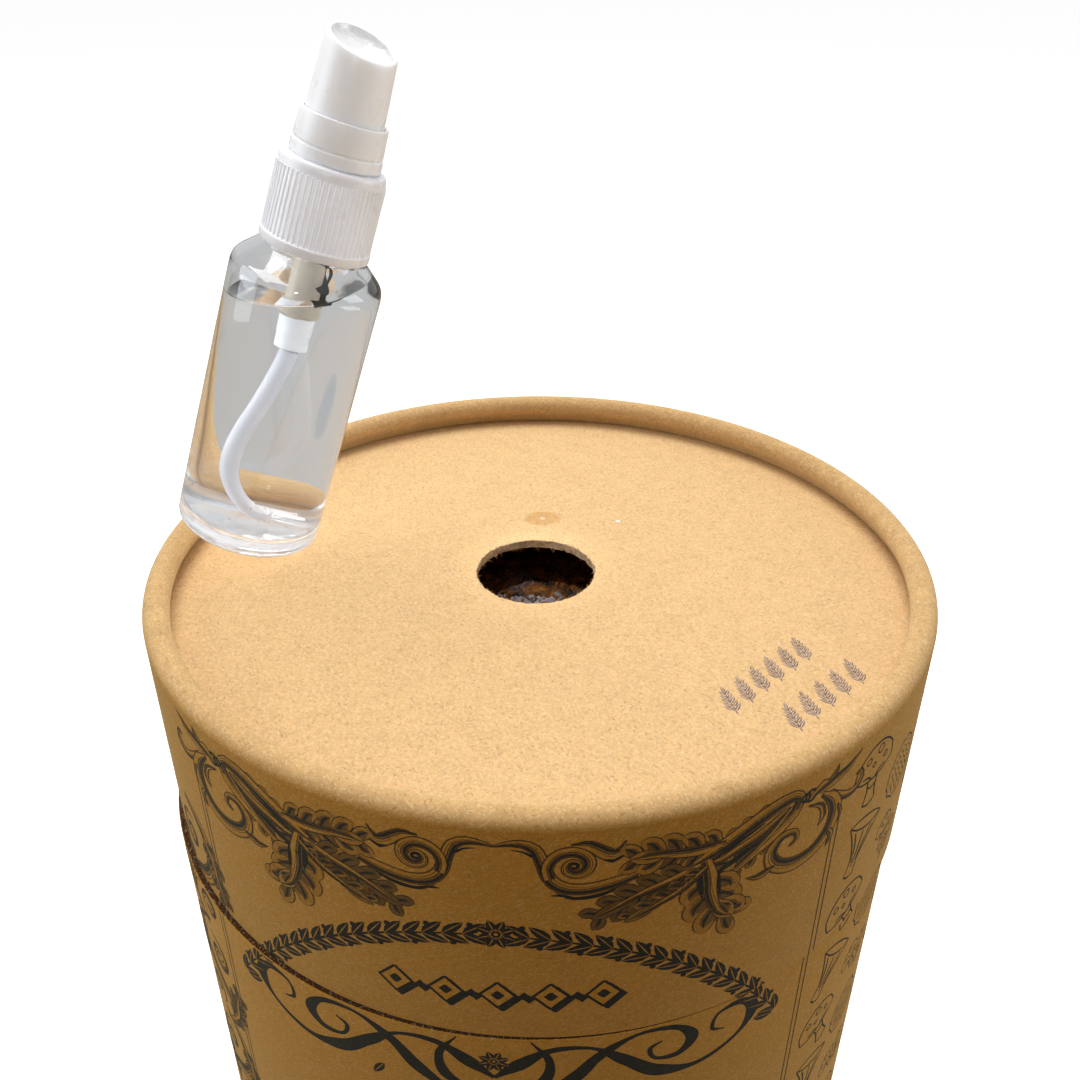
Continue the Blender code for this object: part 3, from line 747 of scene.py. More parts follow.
mycelium, tree, shader = finish_of("mycelium", {"Roughness": 1.0, "Sheen Weight": 0.6})
downy = noise_at(tree, spot_on(tree), 900.0, 3.0)
feed(shader, {"Base Color": blend_colour(tree, downy, DOWN_DARK, DOWN_PALE)})
print("made", substrate.name, "and", mycelium.name)

# %% [markdown]
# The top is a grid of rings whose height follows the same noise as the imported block, with
# finer noise on top near the middle.

# %% Shape the block
BLOCK_TOP = PANEL_BOTTOM - 14.0 * MM
BLOCK_STEPS = 128
LUMP_HEIGHT = 1.9 * MM
LUMP_SIZE = 7.0 * MM
FINE_REACH = 34.0 * MM
FINE_RADII = [0.6 + 0.6 * step for step in range(34)]
WIDE_RADII = [22.5, 25, 29, 34, 41, 50, 60, 69, 73.5]


def block_height(x, y):
    """Height of the block's lumpy top at a point measured from its own middle."""
    spot = Vector((x, y, 0.0)) / LUMP_SIZE
    broad = noise.noise(spot) + 0.5 * noise.noise(spot * 2.3 + Vector((5.0, 1.0, 0.0)))
    near = max(0.0, 1.0 - math.hypot(x, y) / FINE_REACH)
    fine = noise.noise(spot * 6.0) + 0.5 * noise.noise(spot * 13.0)
    return min(BLOCK_TOP + LUMP_HEIGHT * (0.9 * broad + 0.35 * near * fine), block_high.z)


shape = bmesh.new()
rings = [ring(shape, 1, 0.0, block_height, BLOCK_MIDDLE) * BLOCK_STEPS]
for radius in FINE_RADII + WIDE_RADII:
    rings.append(ring(shape, BLOCK_STEPS, MM * radius, block_height, BLOCK_MIDDLE))
for radius, height in ((BLOCK_RADIUS, BLOCK_TOP - 2 * MM), (BLOCK_RADIUS, BLOCK_TOP - 20 * MM),
                       (BLOCK_RADIUS, block_low.z + 1 * MM), (BLOCK_RADIUS - 1 * MM, block_low.z)):
    rings.append(ring(shape, BLOCK_STEPS, radius, height, BLOCK_MIDDLE))
rings.append(ring(shape, 1, 0.0, block_low.z, BLOCK_MIDDLE) * BLOCK_STEPS)
skin(shape, rings)
block = finish_mesh("growing_block", shape, sharp=80.0)
dress(block, "kit", substrate, "substrate", "substrate_block")

# %% [markdown]
# ## Crumbs and tufts
# Loose crumbs and downy tufts repeat by the hundred, so Geometry Nodes scatter them. One
# tree serves both. It takes points on the block's top below the hole, puts a lumpy little
# shape on each with a random size and turn, and ends in Realize Instances and Set Material.

# %% Build the scatter tree
FULL_TURN = (6.28, 6.28, 6.28)
LEAST, MOST = 2, 3


def position_in(tree):
    return result(tree, "GeometryNodeInputPosition")


def end_tree(tree, sockets, tree_out, geometry, smooth=True):
    """Make instances real, shade them smooth, set their material and send them out."""
    made = result(tree, "GeometryNodeRealizeInstances", {"Geometry": geometry})
    if smooth:
        made = result(tree, "GeometryNodeSetShadeSmooth", {"Geometry": made})
    feed(tree_out, {"Geometry": result(tree, "GeometryNodeSetMaterial", {
        "Geometry": made, "Material": sockets["Material"]})})


def random_vector(tree, least, most, **seed):
    """A random vector between two corners of a box."""
    made = node(tree, "FunctionNodeRandomValue", seed, data_type="FLOAT_VECTOR")
    return feed(made, {"Min": least, "Max": most}).outputs[0]


def random_size(tree, least, most, **seed):
    """A random number between two values."""
    values = {LEAST: least, MOST: most, **seed}
    return node(tree, "FunctionNodeRandomValue", values, data_type="FLOAT").outputs[1]


scatter, scatter_in, scatter_out = new_group("scatter on block", "GeometryNodeTree", {
    "Ground": "Geometry", "Distance": 1.0 * MM, "Smallest": 0.4 * MM, "Largest": 1.4 * MM,
    "Roughness": 0.4, "Reach": 26.0 * MM, "Middle X": 0.0, "Middle Y": 0.0, "Clumps Above": 0.0,
    "Seed": 1, "Material": "Material"}, {"Geometry": "Geometry"})
where = position_in(scatter)
flat = parts_of(scatter, where)
off_x = maths(scatter, "SUBTRACT", flat["X"], scatter_in["Middle X"])
off_y = maths(scatter, "SUBTRACT", flat["Y"], scatter_in["Middle Y"])
near = maths(scatter, "LESS_THAN", length_of(scatter, off_x, off_y), scatter_in["Reach"])
high = maths(scatter, "GREATER_THAN", flat["Z"], BLOCK_TOP - 8 * MM)
patches = noise_at(scatter, where, 190.0, 1.0)
clumped = maths(scatter, "GREATER_THAN", patches, scatter_in["Clumps Above"])
points = node(scatter, "GeometryNodeDistributePointsOnFaces", {
    "Mesh": scatter_in["Ground"], "Seed": scatter_in["Seed"], "Density Max": 4.0e6,
    "Distance Min": scatter_in["Distance"],
    "Selection": times(scatter, times(scatter, near, high), clumped)}, distribute_method="POISSON")
ball = result(scatter, "GeometryNodeMeshIcoSphere", {"Radius": 1.0, "Subdivisions": 2})
dent = result(scatter, "ShaderNodeTexNoise", {"Scale": 1.3, "Detail": 2.0})
dent_depth = times(scatter, maths(scatter, "SUBTRACT", dent, 0.5),
                   times(scatter, scatter_in["Roughness"], 4.0))
push = vector_maths(scatter, "SCALE", result(scatter, "GeometryNodeInputNormal"), dent_depth)
lumpy = result(scatter, "GeometryNodeSetPosition", {"Geometry": ball, "Offset": push})
long_way = random_vector(scatter, (0.5, 0.5, 0.4), (1.3, 1.0, 0.8))
any_size = random_size(scatter, scatter_in["Smallest"], scatter_in["Largest"])
end_tree(scatter, scatter_in, scatter_out, result(scatter, "GeometryNodeInstanceOnPoints", {
    "Points": points.outputs["Points"], "Instance": lumpy,
    "Rotation": random_vector(scatter, (0.0, 0.0, 0.0), FULL_TURN),
    "Scale": vector_maths(scatter, "SCALE", long_way, any_size)}))
print("the scatter tree has", len(scatter.nodes), "nodes")

# %% [markdown]
# `grow` runs a tree on a mesh with its inputs set by name, and keeps what it made as plain
# faces. Small crumbs lie under the whole hole. Tufts keep to clumps near its middle.

# %% Scatter the crumbs and tufts
def grow(name, source, tree, values):
    """Run a geometry tree on a mesh and keep the result as a plain mesh object."""
    holder = stand(name, source)
    grower = holder.modifiers.new("grow", "NODES")
    grower.node_group = tree
    for item in tree.interface.items_tree:
        if item.item_type == "SOCKET" and item.in_out == "INPUT" and item.name in values:
            grower[item.identifier] = values[item.name]
    bpy.context.view_layer.update()
    evaluated = holder.evaluated_get(bpy.context.evaluated_depsgraph_get())
    mesh = bpy.data.meshes.new_from_object(evaluated)
    mesh.name = name
    holder.modifiers.clear()
    holder.data = mesh
    return holder


crumbs = grow("substrate_crumbs", block.data, scatter, {
    "Middle X": HOLE_MIDDLE, "Middle Y": 8.0 * MM, "Distance": 1.0 * MM, "Smallest": 0.3 * MM,
    "Largest": 1.0 * MM, "Roughness": 0.35, "Reach": 24.0 * MM, "Seed": 4, "Material": substrate})
dress(crumbs, "kit", substrate, "substrate")
tufts = grow("mycelium_tufts", block.data, scatter, {
    "Middle X": HOLE_MIDDLE - 3.0 * MM, "Middle Y": 9.0 * MM, "Distance": 0.8 * MM,
    "Smallest": 0.35 * MM, "Largest": 1.2 * MM, "Roughness": 0.45, "Reach": 12.5 * MM,
    "Clumps Above": 0.56, "Seed": 9, "Material": mycelium})
dress(tufts, "kit", mycelium, "substrate")

# %% [markdown]
# ## Clear plastic and water
# The bottle is blown PET, clear with a faint grey cast, and thick at the base, where it bends light like
# a lens. Plain transmission with the real indices of refraction, 1.57 and 1.333, gives this. The thick
# foot lets only part of the light through and is white for the rest: partly a slight milkiness, partly
# painted light for the brightness that the thick base catches. A slow waviness in the normal stands for
# the ripples that blowing leaves. The clear pieces throw no shadow: a renderer would make it as dark as
# that of a solid, while on the real kit light reaches the dip tube and the panel through them.

# %% Mix the clear finishes
PET_INDEX = 1.57
WATER_INDEX = 1.333


def clear_finish(name, colour, share, index):
    return finish_of(name, {"Base Color": (*colour, 1.0), "Transmission Weight": share, "IOR": index})


clear_pet, tree, shader = clear_finish("clear bottle plastic", (0.945, 0.95, 0.965), 1.0, PET_INDEX)
spot = spot_on(tree)
emboss(tree, shader, noise_at(tree, spot, 95.0, 1.0), 0.25 * MM, 0.35)
handled = noise_at(tree, spot, 220.0, 4.0)
feed(shader, {"Roughness": remap(tree, handled, 0.45, 0.75, 0.0, 0.06)})

clear_water, tree, shader = clear_finish("water", (0.965, 0.98, 0.985), 1.0, WATER_INDEX)
feed(shader, {"Roughness": 0.0})

# Partly white and matt: partly milkiness, partly painted light where the thick base catches it.
foot_milk_and_light, tree, shader = clear_finish("thick clear foot", (0.97, 0.97, 1.0), 0.72, PET_INDEX)
ripple = noise_at(tree, spot_on(tree), 420.0, 2.0)
emboss(tree, shader, ripple, 0.25 * MM, 0.5)
feed(shader, {"Roughness": remap(tree, ripple, 0.4, 0.7, 0.02, 0.12)})
print("clear finishes:", clear_pet.name, clear_water.name, foot_milk_and_light.name)

# %% [markdown]
# ## Bottle
# One closed profile gives the whole blown shell: pushed-up base, rounded heel, wall, cone
# shoulder and neck outside, then the same way back inside. The base is more than 3 mm thick
# and the wall 1 mm. Heights are along the bottle's own leaning axis, in millimetres.

# %% Turn the bottle
BOTTLE_STEPS = 128
BOTTLE_RADIUS = 15.05
HEEL = 2.5
FOOT_RADIUS = BOTTLE_RADIUS - HEEL
BOTTLE_BORE = 14.0
FLOOR_TOP = 3.4
FOOT_TOP = 2.6
SHOULDER_LOW = 57.5
SHOULDER_HIGH = 63.5
NECK_RADIUS = 9.1
NECK_BORE = 7.6
NECK_TOP = 75.5
to_bottle = BOTTLE_PLACE.inverted()
inside_corners = [
    (BOTTLE_BORE - 2.6, FLOOR_TOP, 1.5),
    (BOTTLE_BORE, FLOOR_TOP + 1.2, 2.2),
    (BOTTLE_BORE, 16, 0),
    (BOTTLE_BORE, 30, 0),
    (BOTTLE_BORE, 45, 0),
    (BOTTLE_BORE, SHOULDER_LOW + 0.3, 1.4),
    (NECK_BORE + 0.7, SHOULDER_HIGH - 0.8, 1.8),
    (NECK_BORE, SHOULDER_HIGH + 1.4, 1.0),
]
shell = [(0.0, FLOOR_TOP + 0.25)] + soften(inside_corners + [
    (NECK_BORE, NECK_TOP, 0.2),
    (NECK_RADIUS, NECK_TOP, 0.3),
    (NECK_RADIUS, SHOULDER_HIGH + 0.3, 0.6),
    (NECK_RADIUS + 1.1, SHOULDER_HIGH + 0.1, 0.5),
    (BOTTLE_RADIUS - 0.35, SHOULDER_LOW + 1.9, 1.2),
    (BOTTLE_RADIUS, SHOULDER_LOW, 0.9),
    (BOTTLE_RADIUS, 45, 0),
    (BOTTLE_RADIUS, 30, 0),
    (BOTTLE_RADIUS, 16, 0),
], closed=False) + arc((FOOT_RADIUS, HEEL), HEEL, 0, -90, 9) + soften([
    (FOOT_RADIUS, 0.0, 0),
    (FOOT_RADIUS - 1.7, 0.05, 0.5),
    (FOOT_RADIUS - 3.4, 0.95, 0.9),
    (0.0, 1.4, 0),
], closed=False)[1:]
bottle = turned("spray_bottle", shell, BOTTLE_STEPS, closed=False, place=BOTTLE_PLACE, sharp=60.0)
bottle.visible_shadow = False
sort_faces(bottle, (clear_pet, foot_milk_and_light),
           lambda face: (to_bottle @ face.center).z < FOOT_TOP * MM)
dress(bottle, "kit", None, "clear_plastic", "bottle")

# %% [markdown]
# ## Water
# The water fills the bottle to the shoulder. It reaches a twentieth of a millimetre into the
# plastic: with a gap of air between them, the wall would look silvered. Its surface lies
# flat in the room, not square to the leaning bottle, so a closed filling is turned first
# and the top is cut off level. The cut face is then inset in steps and lowered a little,
# which leaves a meniscus that climbs the wall and catches the light. A few air bubbles
# that cling inside are small holes in the same mesh.

# %% Pour the water
INTO_WALL = 0.05
FILLING_TOP = SHOULDER_HIGH + 4
WATER_AT_LEFT_WALL = 51.8
CLIMB = 0.55 * MM
MENISCUS_STEP = 0.6 * MM
MENISCUS = ((0.35, 0.40), (0.45, 0.27), (0.6, 0.18), (0.8, 0.10), (1.0, 0.05))
BUBBLES = (
    (-12.9, -4.6, 12.0, 0.42), (-13.2, -3.4, 13.4, 0.28), (-11.0, -8.3, 10.6, 0.32),
    (-13.3, 3.1, 11.2, 0.35), (3.4, -12.9, 9.0, 0.30), (6.8, -11.6, 10.2, 0.36),
    (8.6, -10.4, 8.3, 0.26), (5.2, -12.4, 7.4, 0.33), (-2.2, -13.3, 8.0, 0.24),
    (9.9, -9.2, 11.5, 0.22), (-8.0, -10.9, 9.3, 0.25), (1.4, -13.4, 11.8, 0.20),
    (-12.2, -6.1, 20.5, 0.22), (12.6, -5.2, 26.0, 0.20), (-13.0, 4.0, 33.0, 0.24),
)
grown_corners = [(radius + INTO_WALL, height - (INTO_WALL if height < 5 else 0.0), fillet)
                 for radius, height, fillet in inside_corners]
filling = [(0.0, FLOOR_TOP + 0.25 - INTO_WALL)] + soften(
    grown_corners + [(NECK_BORE, FILLING_TOP, 0)], closed=False) + [(0.0, FILLING_TOP)]
water = turned("water_in_bottle", filling, BOTTLE_STEPS, closed=False, place=BOTTLE_PLACE)
shape = bmesh.new()
shape.from_mesh(water.data)
left_wall = BOTTLE_PLACE @ Vector((-BOTTLE_BORE * MM, 0.0, WATER_AT_LEFT_WALL * MM))
cut = cut_off(shape, left_wall, (0.0, 0.0, 1.0))
rim = [item for item in cut["geom_cut"] if isinstance(item, bmesh.types.BMEdge)]
surface = bmesh.ops.edgeloop_fill(shape, edges=rim)["faces"]
for share, climb in MENISCUS:
    bmesh.ops.inset_region(shape, faces=surface, thickness=share * MENISCUS_STEP, depth=0.0)
    for vertex in surface[0].verts:
        vertex.co.z -= climb * CLIMB
area = surface[0].calc_area()
for x, y, height, radius in BUBBLES:
    place = BOTTLE_PLACE @ Matrix.Translation(Vector((x, y, height)) * MM)
    made = bmesh.ops.create_icosphere(shape, subdivisions=2, radius=radius * MM, matrix=place)
    bubble = list({face for vertex in made["verts"] for face in vertex.link_faces})
    bmesh.ops.reverse_faces(shape, faces=bubble)
shape.to_mesh(water.data)
shape.free()
settle(water.data)
water.visible_shadow = False
dress(water, "kit", clear_water, "water", "water")
print(f"water surface {area / MM ** 2:.0f} square mm, {len(BUBBLES)} bubbles")

# %% [markdown]
# ## Moulded plastic
# The collar, sleeve and button are white polypropylene, a little see-through, with a soft
# gloss and the faint orange peel of a mould. The dip tube is natural polyethylene without
# pigment. All use one group, which puts out a slight cloudiness, uneven gloss and the relief.

# %% Shader group: moulded plastic
THIN_TINT = (0.82, 0.83, 0.86, 1.0)
moulded, moulded_in, moulded_out = new_group("moulded plastic", "ShaderNodeTree", {
    "Plastic": (0.8, 0.8, 0.8, 1.0), "Cloudiness": 0.03, "Gloss From": 0.2, "Gloss To": 0.34},
    SKIN_OUTPUTS)
spot = spot_on(moulded)
cloud = noise_at(moulded, spot, 160.0, 2.0)
thin = blend_colour(moulded, 1.0, moulded_in["Plastic"], THIN_TINT, "MULTIPLY")
share = times(moulded, cloud, moulded_in["Cloudiness"])
feed(moulded_out, {
    "Colour": blend_colour(moulded, share, moulded_in["Plastic"], thin),
    "Roughness": remap(moulded, cloud, 0.3, 0.7, moulded_in["Gloss From"], moulded_in["Gloss To"]),
    "Height": noise_at(moulded, spot, 1400.0, 1.0)})


def moulded_finish(name, colour, cloudiness, gloss, values):
    """A finish that wears the moulded group; gloss is its least and most roughness."""
    material, tree, shader = finish_of(name, values)
    surface = use_group(tree, moulded, {"Plastic": (*colour, 1.0), "Cloudiness": cloudiness,
                                        "Gloss From": gloss[0], "Gloss To": gloss[1]})
    feed(shader, {"Base Color": surface["Colour"], "Roughness": surface["Roughness"]})
    return material, tree, shader, surface


def plastic_finish(name, colour, cloudiness, gloss, **more):
    """Moulded plastic that lets some light in, with orange peel."""
    material, tree, shader, surface = moulded_finish(name, colour, cloudiness, gloss, {
        "IOR": 1.49, "Subsurface Weight": 0.35, "Subsurface Radius": (1.0, 0.9, 0.8),
        "Subsurface Scale": 1.5 * MM, **more})
    emboss(tree, shader, surface["Height"], 0.01 * MM, 0.3)
    return material


white_pp = plastic_finish("white moulded plastic", (0.92, 0.92, 0.935), 0.3, (0.24, 0.38))
# The collar's white is a darker copy of the same plastic: painted shade, so that it shows no brighter
# than the sleeve and button.
shaded_collar_pp = plastic_finish("shaded white collar plastic", (0.84, 0.84, 0.87), 0.3, (0.24, 0.38))
natural_pe = plastic_finish("natural tube plastic", (0.88, 0.88, 0.92), 0.4, (0.25, 0.4),
                            **{"Transmission Weight": 0.35})
pump_plastic = plastic_finish("uncoloured pump plastic", (0.53, 0.46, 0.36), 0.4, (0.2, 0.34))
print("plastics:", [made.name for made in (white_pp, shaded_collar_pp, natural_pe, pump_plastic)])

# %% [markdown]
# ## Screw collar
# The collar's body is turned, with a rounded shoulder on top and a plain band below. Its
# fine grip ribs repeat 58 times, so Geometry Nodes set them round a circle: one slim
# bar that leans with the collar's draft, copied to each point, joined with the body. Thin
# white plastic lets a lot of light through, so the collar throws no shadow into the neck.

# %% Build the rib tree
ribbed, ribbed_in, ribbed_out = new_group("ribs round a collar", "GeometryNodeTree", {
    "Body": "Geometry", "Count": 58, "Circle Radius": 10.4 * MM, "Middle Height": 73.0 * MM,
    "Rib Length": 12.0 * MM, "Rib Radius": 0.4 * MM, "Draft": 0.02, "Material": "Material"},
    {"Geometry": "Geometry"})
circle = result(ribbed, "GeometryNodeMeshCircle", {
    "Vertices": ribbed_in["Count"], "Radius": ribbed_in["Circle Radius"]})
bar = result(ribbed, "GeometryNodeMeshCylinder", {
    "Vertices": 10, "Side Segments": 4, "Radius": ribbed_in["Rib Radius"],
    "Depth": ribbed_in["Rib Length"]})
height_on_bar = parts_of(ribbed, position_in(ribbed))["Z"]
slip = times(ribbed, times(ribbed, height_on_bar, -1.0), ribbed_in["Draft"])
leaning = result(ribbed, "GeometryNodeSetPosition", {
    "Geometry": bar, "Offset": vector_from(ribbed, X=slip)})
number = result(ribbed, "GeometryNodeInputIndex")
turn = maths(ribbed, "DIVIDE", times(ribbed, number, math.tau), ribbed_in["Count"])
set_round = result(ribbed, "GeometryNodeInstanceOnPoints", {
    "Points": circle, "Instance": leaning, "Rotation": vector_from(ribbed, Z=turn)})
raised_ribs = result(ribbed, "GeometryNodeTransform", {
    "Geometry": set_round, "Translation": vector_from(ribbed, Z=ribbed_in["Middle Height"])})
together = node(ribbed, "GeometryNodeJoinGeometry")
for piece in (ribbed_in["Body"], raised_ribs):
    ribbed.links.new(piece, together.inputs["Geometry"])
end_tree(ribbed, ribbed_in, ribbed_out, together.outputs["Geometry"])
print("rib tree:", len(ribbed.nodes), "nodes")

# %% [markdown]
# The collar's body is one turned shape round the neck. The tree then sets the fine ribs on
# it, which give fingers a grip.

# %% Turn the collar and add its ribs
COLLAR_LOW = 63.95
COLLAR_HIGH = 80.85
COLLAR_RADIUS = 10.75
COLLAR_STEPS = 174
PLUG_RADIUS = 8.3
collar_body = turned("collar_body", soften([
    (PLUG_RADIUS + 0.3, COLLAR_HIGH, 0.1),
    (COLLAR_RADIUS - 0.65, COLLAR_HIGH, 1.1),
    (COLLAR_RADIUS - 0.42, COLLAR_HIGH - 2.3, 0.3),
    (COLLAR_RADIUS - 0.28, COLLAR_LOW + 2.1, 0.1),
    (COLLAR_RADIUS + 0.12, COLLAR_LOW + 1.75, 0.15),
    (COLLAR_RADIUS + 0.05, COLLAR_LOW, 0.3),
    (COLLAR_RADIUS - 1.15, COLLAR_LOW, 0.2),
    (COLLAR_RADIUS - 1.15, NECK_TOP + 1.5, 0.1),
    (PLUG_RADIUS + 0.3, NECK_TOP + 1.5, 0.1),
]), COLLAR_STEPS)
collar = grow("screw_collar_ribbed", collar_body.data, ribbed, {
    "Count": 58, "Circle Radius": (COLLAR_RADIUS - 0.47) * MM, "Middle Height": 72.2 * MM,
    "Rib Length": 13.0 * MM, "Rib Radius": 0.36 * MM, "Draft": 0.011, "Material": shaded_collar_pp})
bpy.data.objects.remove(collar_body)
settle(collar.data, BOTTLE_PLACE)
collar.visible_shadow = False
dress(collar, "kit", shaded_collar_pp, "white_plastic", "screw_collar")

# %% [markdown]
# ## Guide sleeve and pump
# These are turned too. The sleeve has a thin groove near its foot. The pump hangs in the neck
# and ends in a nipple that the dip tube is pushed over. The stem keeps its plain solid.

# %% Turn the sleeve and the pump
SLEEVE_FOOT = 8.75
SLEEVE_GROOVE = SLEEVE_FOOT - 0.4
SLEEVE_BORE = 7.7
SLEEVE_TOP = 89.1
SLEEVE_FLOOR_LOW = 77.0
SLEEVE_FLOOR_HIGH = 78.3
STEM_BORE = 2.2
PUMP_STEPS = 96
NIPPLE_TOP = 51.0 * MM
sleeve = turned("button_guide_sleeve", soften([
    (SLEEVE_BORE, SLEEVE_TOP, 0.15),
    (PLUG_RADIUS, SLEEVE_TOP, 0.25),
    (SLEEVE_FOOT - 0.17, 83.85, 0.1),
    (SLEEVE_GROOVE, 83.7, 0.1),
    (SLEEVE_GROOVE, 83.45, 0.1),
    (SLEEVE_FOOT, 83.3, 0.15),
    (SLEEVE_FOOT, 81.15, 0.15),
    (PLUG_RADIUS, 81.15, 0.05),
    (PLUG_RADIUS, SLEEVE_FLOOR_LOW, 0.1),
    (STEM_BORE, SLEEVE_FLOOR_LOW, 0.1),
    (STEM_BORE, SLEEVE_FLOOR_HIGH, 0.1),
    (SLEEVE_BORE, SLEEVE_FLOOR_HIGH, 0.1),
]), BOTTLE_STEPS, place=BOTTLE_PLACE)
dress(sleeve, "kit", white_pp, "white_plastic", "guide_sleeve")

pump = turned("pump_housing", [(0.0, 60.7)] + soften([
    (1.9, 60.7, 0.1), (1.9, 76.7, 0.1), (9.1, 76.7, 0.15), (9.1, 75.8, 0.15), (5.0, 75.8, 0.2),
    (5.0, 65.3, 0.6), (3.3, 64.3, 0.4), (3.15, 56.0, 0.1), (3.1, 51.5, 0.3), (2.6, 50.9, 0.2),
    (2.55, 47.2, 0.1), (2.45, 47.0, 0.1), (2.45, 44.1, 0.25),
], closed=False) + [(0.0, 44.1)], PUMP_STEPS, closed=False, place=BOTTLE_PLACE)
sort_faces(pump, (white_pp, pump_plastic), lambda face: (to_bottle @ face.center).z > NIPPLE_TOP)
dress(pump, "kit", None, "white_plastic", "pump_body")
repaint(frame["nodes"]["pump_stem"], white_pp)

# %% [markdown]
# ## Spray button
# The button is a tapered cup with a slanted top and a shallow polished dish for the finger.
# It is built ring by ring. Low rings are level, the top rings follow the slant, and the rings
# inside the rim sink into the dish. Its nozzle looks away from the camera, on the high side.

# %% Build the button and nozzle
BUTTON_STEPS = 128
SLANT = math.tan(math.radians(17.0))
SLANT_TOWARDS = math.radians(-55.0)
DISH_DEPTH = 2.3
DISH_RIM = 101.9
DISH_RADIUS = 5.75
CUP_CEILING = 86.1
button_rings = [
    (1.9, CUP_CEILING, 0), (1.9, 83.3, 0), (6.9, 83.3, 0), (7.25, 83.4, 0), (7.4, 83.7, 0),
    (7.4, 89.1, 0), (7.29, 91.5, 0.0), (7.18, 94.0, 0.2), (7.06, 96.5, 0.45), (6.94, 98.8, 0.7),
    (6.80, 101.3, 1.0), (6.74, 101.8, 1.0), (6.63, 102.08, 1.0),
    (6.45, 102.2, 1.0), (6.1, 102.2, 1.0), (5.92, 102.14, 1.0), (5.8, 101.95, 1.0),
]
for step in range(1, 9):
    turn_in = math.radians(90 * step / 9)
    button_rings.append((DISH_RADIUS * math.cos(turn_in),
                         DISH_RIM - DISH_DEPTH * math.sin(turn_in), 1.0))
shape = bmesh.new()
rings = [ring(shape, 1, 0.0, CUP_CEILING * MM) * BUTTON_STEPS]
for radius, height, slanted in button_rings:
    def on_slant(x, y):
        """Height of this ring's point; slanted says how far it follows the top's slant."""
        towards = x * math.cos(SLANT_TOWARDS) + y * math.sin(SLANT_TOWARDS)
        return height * MM - SLANT * towards * slanted

    rings.append(ring(shape, BUTTON_STEPS, radius * MM, on_slant))
rings.append(ring(shape, 1, 0.0, (DISH_RIM - DISH_DEPTH) * MM) * BUTTON_STEPS)
skin(shape, rings)
button = finish_mesh("spray_button_dished", shape, BOTTLE_PLACE, sharp=45.0)


def in_dish(face):
    local = to_bottle @ face.center
    return math.hypot(local.x, local.y) < 5.95 * MM and local.z > 98 * MM


# The dish is the button's white plastic, polished and darker: the darker tone is painted shade in the
# recess.
polished_shaded_white, tree, shader, _ = moulded_finish(
    "polished shaded white plastic", (0.80, 0.80, 0.81), 0.5, (0.04, 0.12), {"Coat Weight": 0.6})
emboss(tree, shader, noise_at(tree, spot_on(tree), 520.0, 3.0), 0.5 * MM, 0.8)
sort_faces(button, (white_pp, polished_shaded_white), in_dish)
dress(button, "spray_head", None, "white_plastic", "spray_button")

NOZZLE_RADIUS = 2.2
NOZZLE_HEIGHT = 97.0 * MM
NOZZLE_FACE = 7.06
NOZZLE_BACK = NOZZLE_FACE - 2.4
JET_RADIUS = 0.22
away = Matrix.Rotation(SLANT_TOWARDS + math.pi, 4, "Z") @ Matrix.Rotation(math.pi / 2, 4, "Y")
nozzle_place = BOTTLE_PLACE @ Matrix.Translation((0.0, 0.0, NOZZLE_HEIGHT)) @ away
nozzle = turned("spray_nozzle", [(0.0, NOZZLE_FACE - 0.9)] + soften([
    (JET_RADIUS, NOZZLE_FACE - 0.9, 0),
    (JET_RADIUS, NOZZLE_FACE - 0.55, 0.05),
    (0.9, NOZZLE_FACE - 0.5, 0.1),
    (1.35, NOZZLE_FACE - 0.1, 0.15),
    (NOZZLE_RADIUS, NOZZLE_FACE - 0.1, 0.2),
    (NOZZLE_RADIUS, NOZZLE_BACK, 0.1),
], closed=False) + [(0.0, NOZZLE_BACK)], 64, closed=False, place=nozzle_place)
dress(nozzle, "spray_head", white_pp, "white_plastic", "nozzle_insert")

# %% [markdown]
# ## Dip tube
# The tube follows a path, so Geometry Nodes sweep a circle along it. The route is the real
# bend of a tube that is a bit too long: it bows out to one wall and comes back at the floor.

# %% Sweep the dip tube
TUBE_ROUTE_MM = (
    (0.0, 0.0, 43.6), (-0.3, 0.0, 41.2), (-1.1, 0.1, 36.6), (-2.4, 0.3, 30.2),
    (-3.9, 0.5, 23.6), (-4.7, 0.6, 17.8), (-4.4, 0.5, 12.8), (-2.5, 0.2, 8.6),
    (0.3, -0.1, 6.3), (3.0, -0.3, 5.8))
swept, swept_in, swept_out = new_group("tube along a path", "GeometryNodeTree", {
    "Path": "Geometry", "Radius": 1.45 * MM, "Spacing": 0.8 * MM, "Sides": 24,
    "Material": "Material"}, {"Geometry": "Geometry"})
line = result(swept, "GeometryNodeMeshToCurve", {"Mesh": swept_in["Path"]})
even = result(swept, "GeometryNodeResampleCurve", {
    "Curve": line, "Length": swept_in["Spacing"]}, mode="LENGTH")
section = result(swept, "GeometryNodeCurvePrimitiveCircle", {
    "Resolution": swept_in["Sides"], "Radius": swept_in["Radius"]})
end_tree(swept, swept_in, swept_out, result(swept, "GeometryNodeCurveToMesh", {
    "Curve": even, "Profile Curve": section, "Fill Caps": True}))


def curve_spot(before, start, end, after, t):
    """One number of a Catmull-Rom curve from start to end, at t from 0 to 1."""
    return 0.5 * (2 * start + (end - before) * t
                  + (2 * before - 5 * start + 4 * end - after) * t * t
                  + (3 * start - before - 3 * end + after) * t ** 3)


